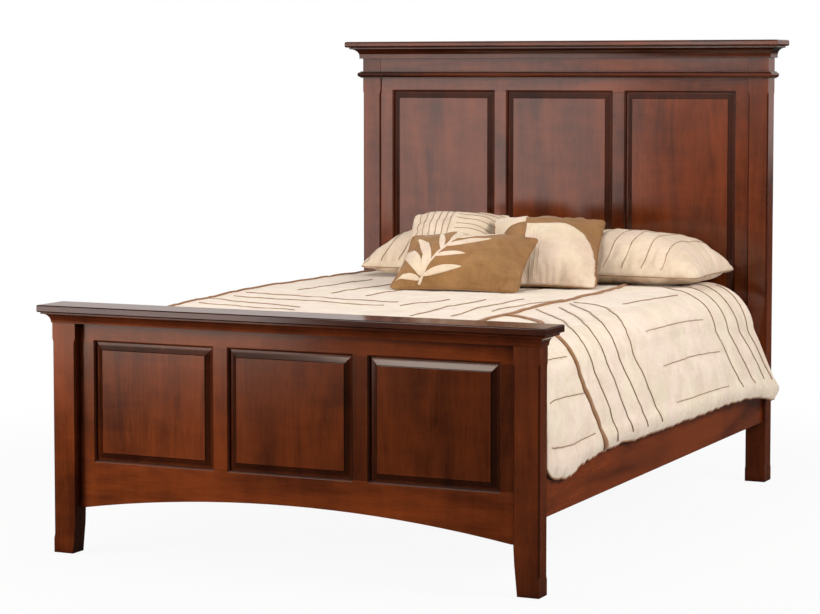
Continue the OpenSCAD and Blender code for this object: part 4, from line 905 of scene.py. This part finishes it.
def slab(node, z, h, ease_r):
    """A boxed pad: rounded plan, eased edges and taped seams."""
    r, n = SLAB_CORNER, 96
    ang = np.linspace(0, 2 * math.pi, n, endpoint=False)
    circle = np.stack([np.cos(ang), np.sin(ang)], 1)
    base_y = np.where(np.sin(ang) > 0, SLAB_Y1 - r, SLAB_Y0 + r)
    base = np.stack([np.sign(np.cos(ang)) * (SLAB_X - r), base_y], 1)
    turns = np.radians([0, 22, 45, 67, 90])
    curve = [(ease_r * (1 - math.cos(a)), ease_r * (1 - math.sin(a))) for a in turns]
    profile = [(i, z + e) for i, e in curve[::-1]] + [(i, z + h - e) for i, e in curve]
    rings = [np.column_stack([base + circle * (r - inset), np.full(n, level)]) for inset, level in profile]
    centre = [0, (SLAB_Y0 + SLAB_Y1) / 2]
    for shrink in (0.9, 0.6, 0.3, 0.05):
        rings.append(np.column_stack([(rings[-1][:, :2] - centre) * shrink + centre, np.full(n, z + h)]))
    last = (len(rings) - 1) * n
    faces = quads(len(rings), n, True) + [tuple(range(n - 1, -1, -1)), tuple(last + i for i in range(n))]
    ob = piece(node + "_cover", np.vstack(rings), faces, ticking, "bed", node + "_cover")
    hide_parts(node)
    tapes = [tube(np.column_stack([base + circle * (r + 0.001), np.full(n, level)]), 0.0035, closed=True)
             for level in (z + ease_r + 0.004, z + h - ease_r - 0.004)]
    piece(node + "_cover_tape", *join(tapes), ticking, "bed", node + "_cover")


slab("mattress", 0.440, 0.232, 0.040)
slab("foundation", 0.290, 0.150, 0.010)


# floor and light
def ray_is(t, *kinds):
    """1 for rays of the given kinds, such as Camera."""
    path = add(t, "LightPath").outputs
    value = path["Is %s Ray" % kinds[0]]
    for kind in kinds[1:]:
        value = math_node(t, "MAXIMUM", value, path["Is %s Ray" % kind])
    return value


def blended(t, fac, a, b):
    return add(t, "MixShader", {0: fac, 1: a.outputs[0], 2: b.outputs[0]})


def field(t, centre, near, far, low, high):
    """A value that changes smoothly with the distance from a point of the floor."""
    spot = add(t, "TexCoord").outputs["Object"]
    away = add(t, "VectorMath", {0: spot, 1: (*centre, 0)}, operation="DISTANCE").outputs["Value"]
    ends = {"Value": away, "From Min": near, "From Max": far, "To Min": low, "To Max": high}
    return add(t, "MapRange", ends, interpolation_type="SMOOTHSTEP").outputs["Result"]


def studio_floor():
    """White to the camera, with a faint shadow, and with a painted pool of light near the key lamp that only
    the lacquer's reflections see.
    """
    m, t, b = new_material("studio_floor", Base_Color=(0.5, 0.49, 0.475, 1), Roughness=0.95,
                           Specular_IOR_Level=0.0)
    white = add(t, "Emission", {"Color": (1, 1, 1, 1), "Strength": 1.0})
    # painted reflection: for glossy rays the floor glows brightest near the key lamp and fades to 0.06 away
    # from it
    painted_pool = field(t, (-3.4, -5.2), 0.3, 2.3, 1.0, 0.06)
    sheen = add(t, "Emission", {"Color": (1, 0.97, 0.93, 1), "Strength": painted_pool})
    seen = ray_is(t, "Camera", "Transmission")
    clear = math_node(t, "MULTIPLY", seen, field(t, (0, 0), 1.6, 3.4, 0.93, 1.0))
    both = blended(t, ray_is(t, "Glossy"), blended(t, clear, b, white), sheen)
    t.links.new(both.outputs[0], [n for n in t.nodes if n.type == "OUTPUT_MATERIAL"][0].inputs["Surface"])
    me = bpy.data.meshes.new("floor")
    me.from_pydata([(-30, -30, 0), (30, -30, 0), (30, 30, 0), (-30, 30, 0)], [], [(0, 1, 2, 3)])
    me.materials.append(m)
    floor = bpy.data.objects.new("floor", me)
    scene.collection.objects.link(floor)
    floor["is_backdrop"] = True


def studio_world():
    """White to the camera, a little dimmer in the lacquer, and a weak light on the bed."""
    world = bpy.data.worlds.new("studio")
    scene.world = world
    world.use_nodes = True
    t = world.node_tree
    t.nodes.clear()
    glow = add(t, "Background", {"Color": (1, 0.985, 0.965, 1), "Strength": 0.15})
    walls = add(t, "Background", {"Color": (1, 0.90, 0.86, 1), "Strength": 0.72})
    white = add(t, "Background", {"Color": (1, 1, 1, 1), "Strength": 1.0})
    lit = blended(t, ray_is(t, "Glossy"), glow, walls)
    both = blended(t, ray_is(t, "Camera", "Transmission"), lit, white)
    t.links.new(both.outputs[0], add(t, "OutputWorld").inputs["Surface"])


def lamp(name, power, size, place, aim, mirrored=False):
    """A rectangular lamp that points at aim. The lacquer shows it only if mirrored."""
    data = bpy.data.lights.new(name, "AREA")
    data.shape = "RECTANGLE"
    data.size, data.size_y = size
    data.energy = power
    ob = bpy.data.objects.new(name, data)
    scene.collection.objects.link(ob)
    ob.location = place
    ob.visible_glossy = mirrored
    d = np.array(aim, float) - np.array(place, float)
    pitch, yaw = math.atan2(math.hypot(d[0], d[1]), -d[2]), math.atan2(d[1], d[0]) - math.pi / 2
    ob.rotation_euler = Euler((pitch, 0, yaw))


studio_floor()
studio_world()
lamp("key", 165, (1.9, 1.9), (-2.85, -3.6, 1.35), (0, -0.2, 0.8))
lamp("softbox", 26, (2.3, 1.55), (-2.65, -3.8, 1.0), (0, -0.2, 0.9), mirrored=True)
lamp("card", 19, (0.8, 1.0), (-1.03, -4.1, 2.14), (0.5, -1.1, 0.6), mirrored=True)
lamp("fill", 205, (1.8, 1.6), (4.5, -0.5, 3.1), (0.5, 0.1, 0.4))
lamp("rear", 95, (2.6, 2.2), (-1.2, 5.6, 2.3), (0, 1.1, 0.7))
lamp("top", 86, (2.6, 2.6), (-0.2, -0.6, 4.6), (0, 0.2, 0.6))

scene.view_settings.view_transform = "Standard"
lo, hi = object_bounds()
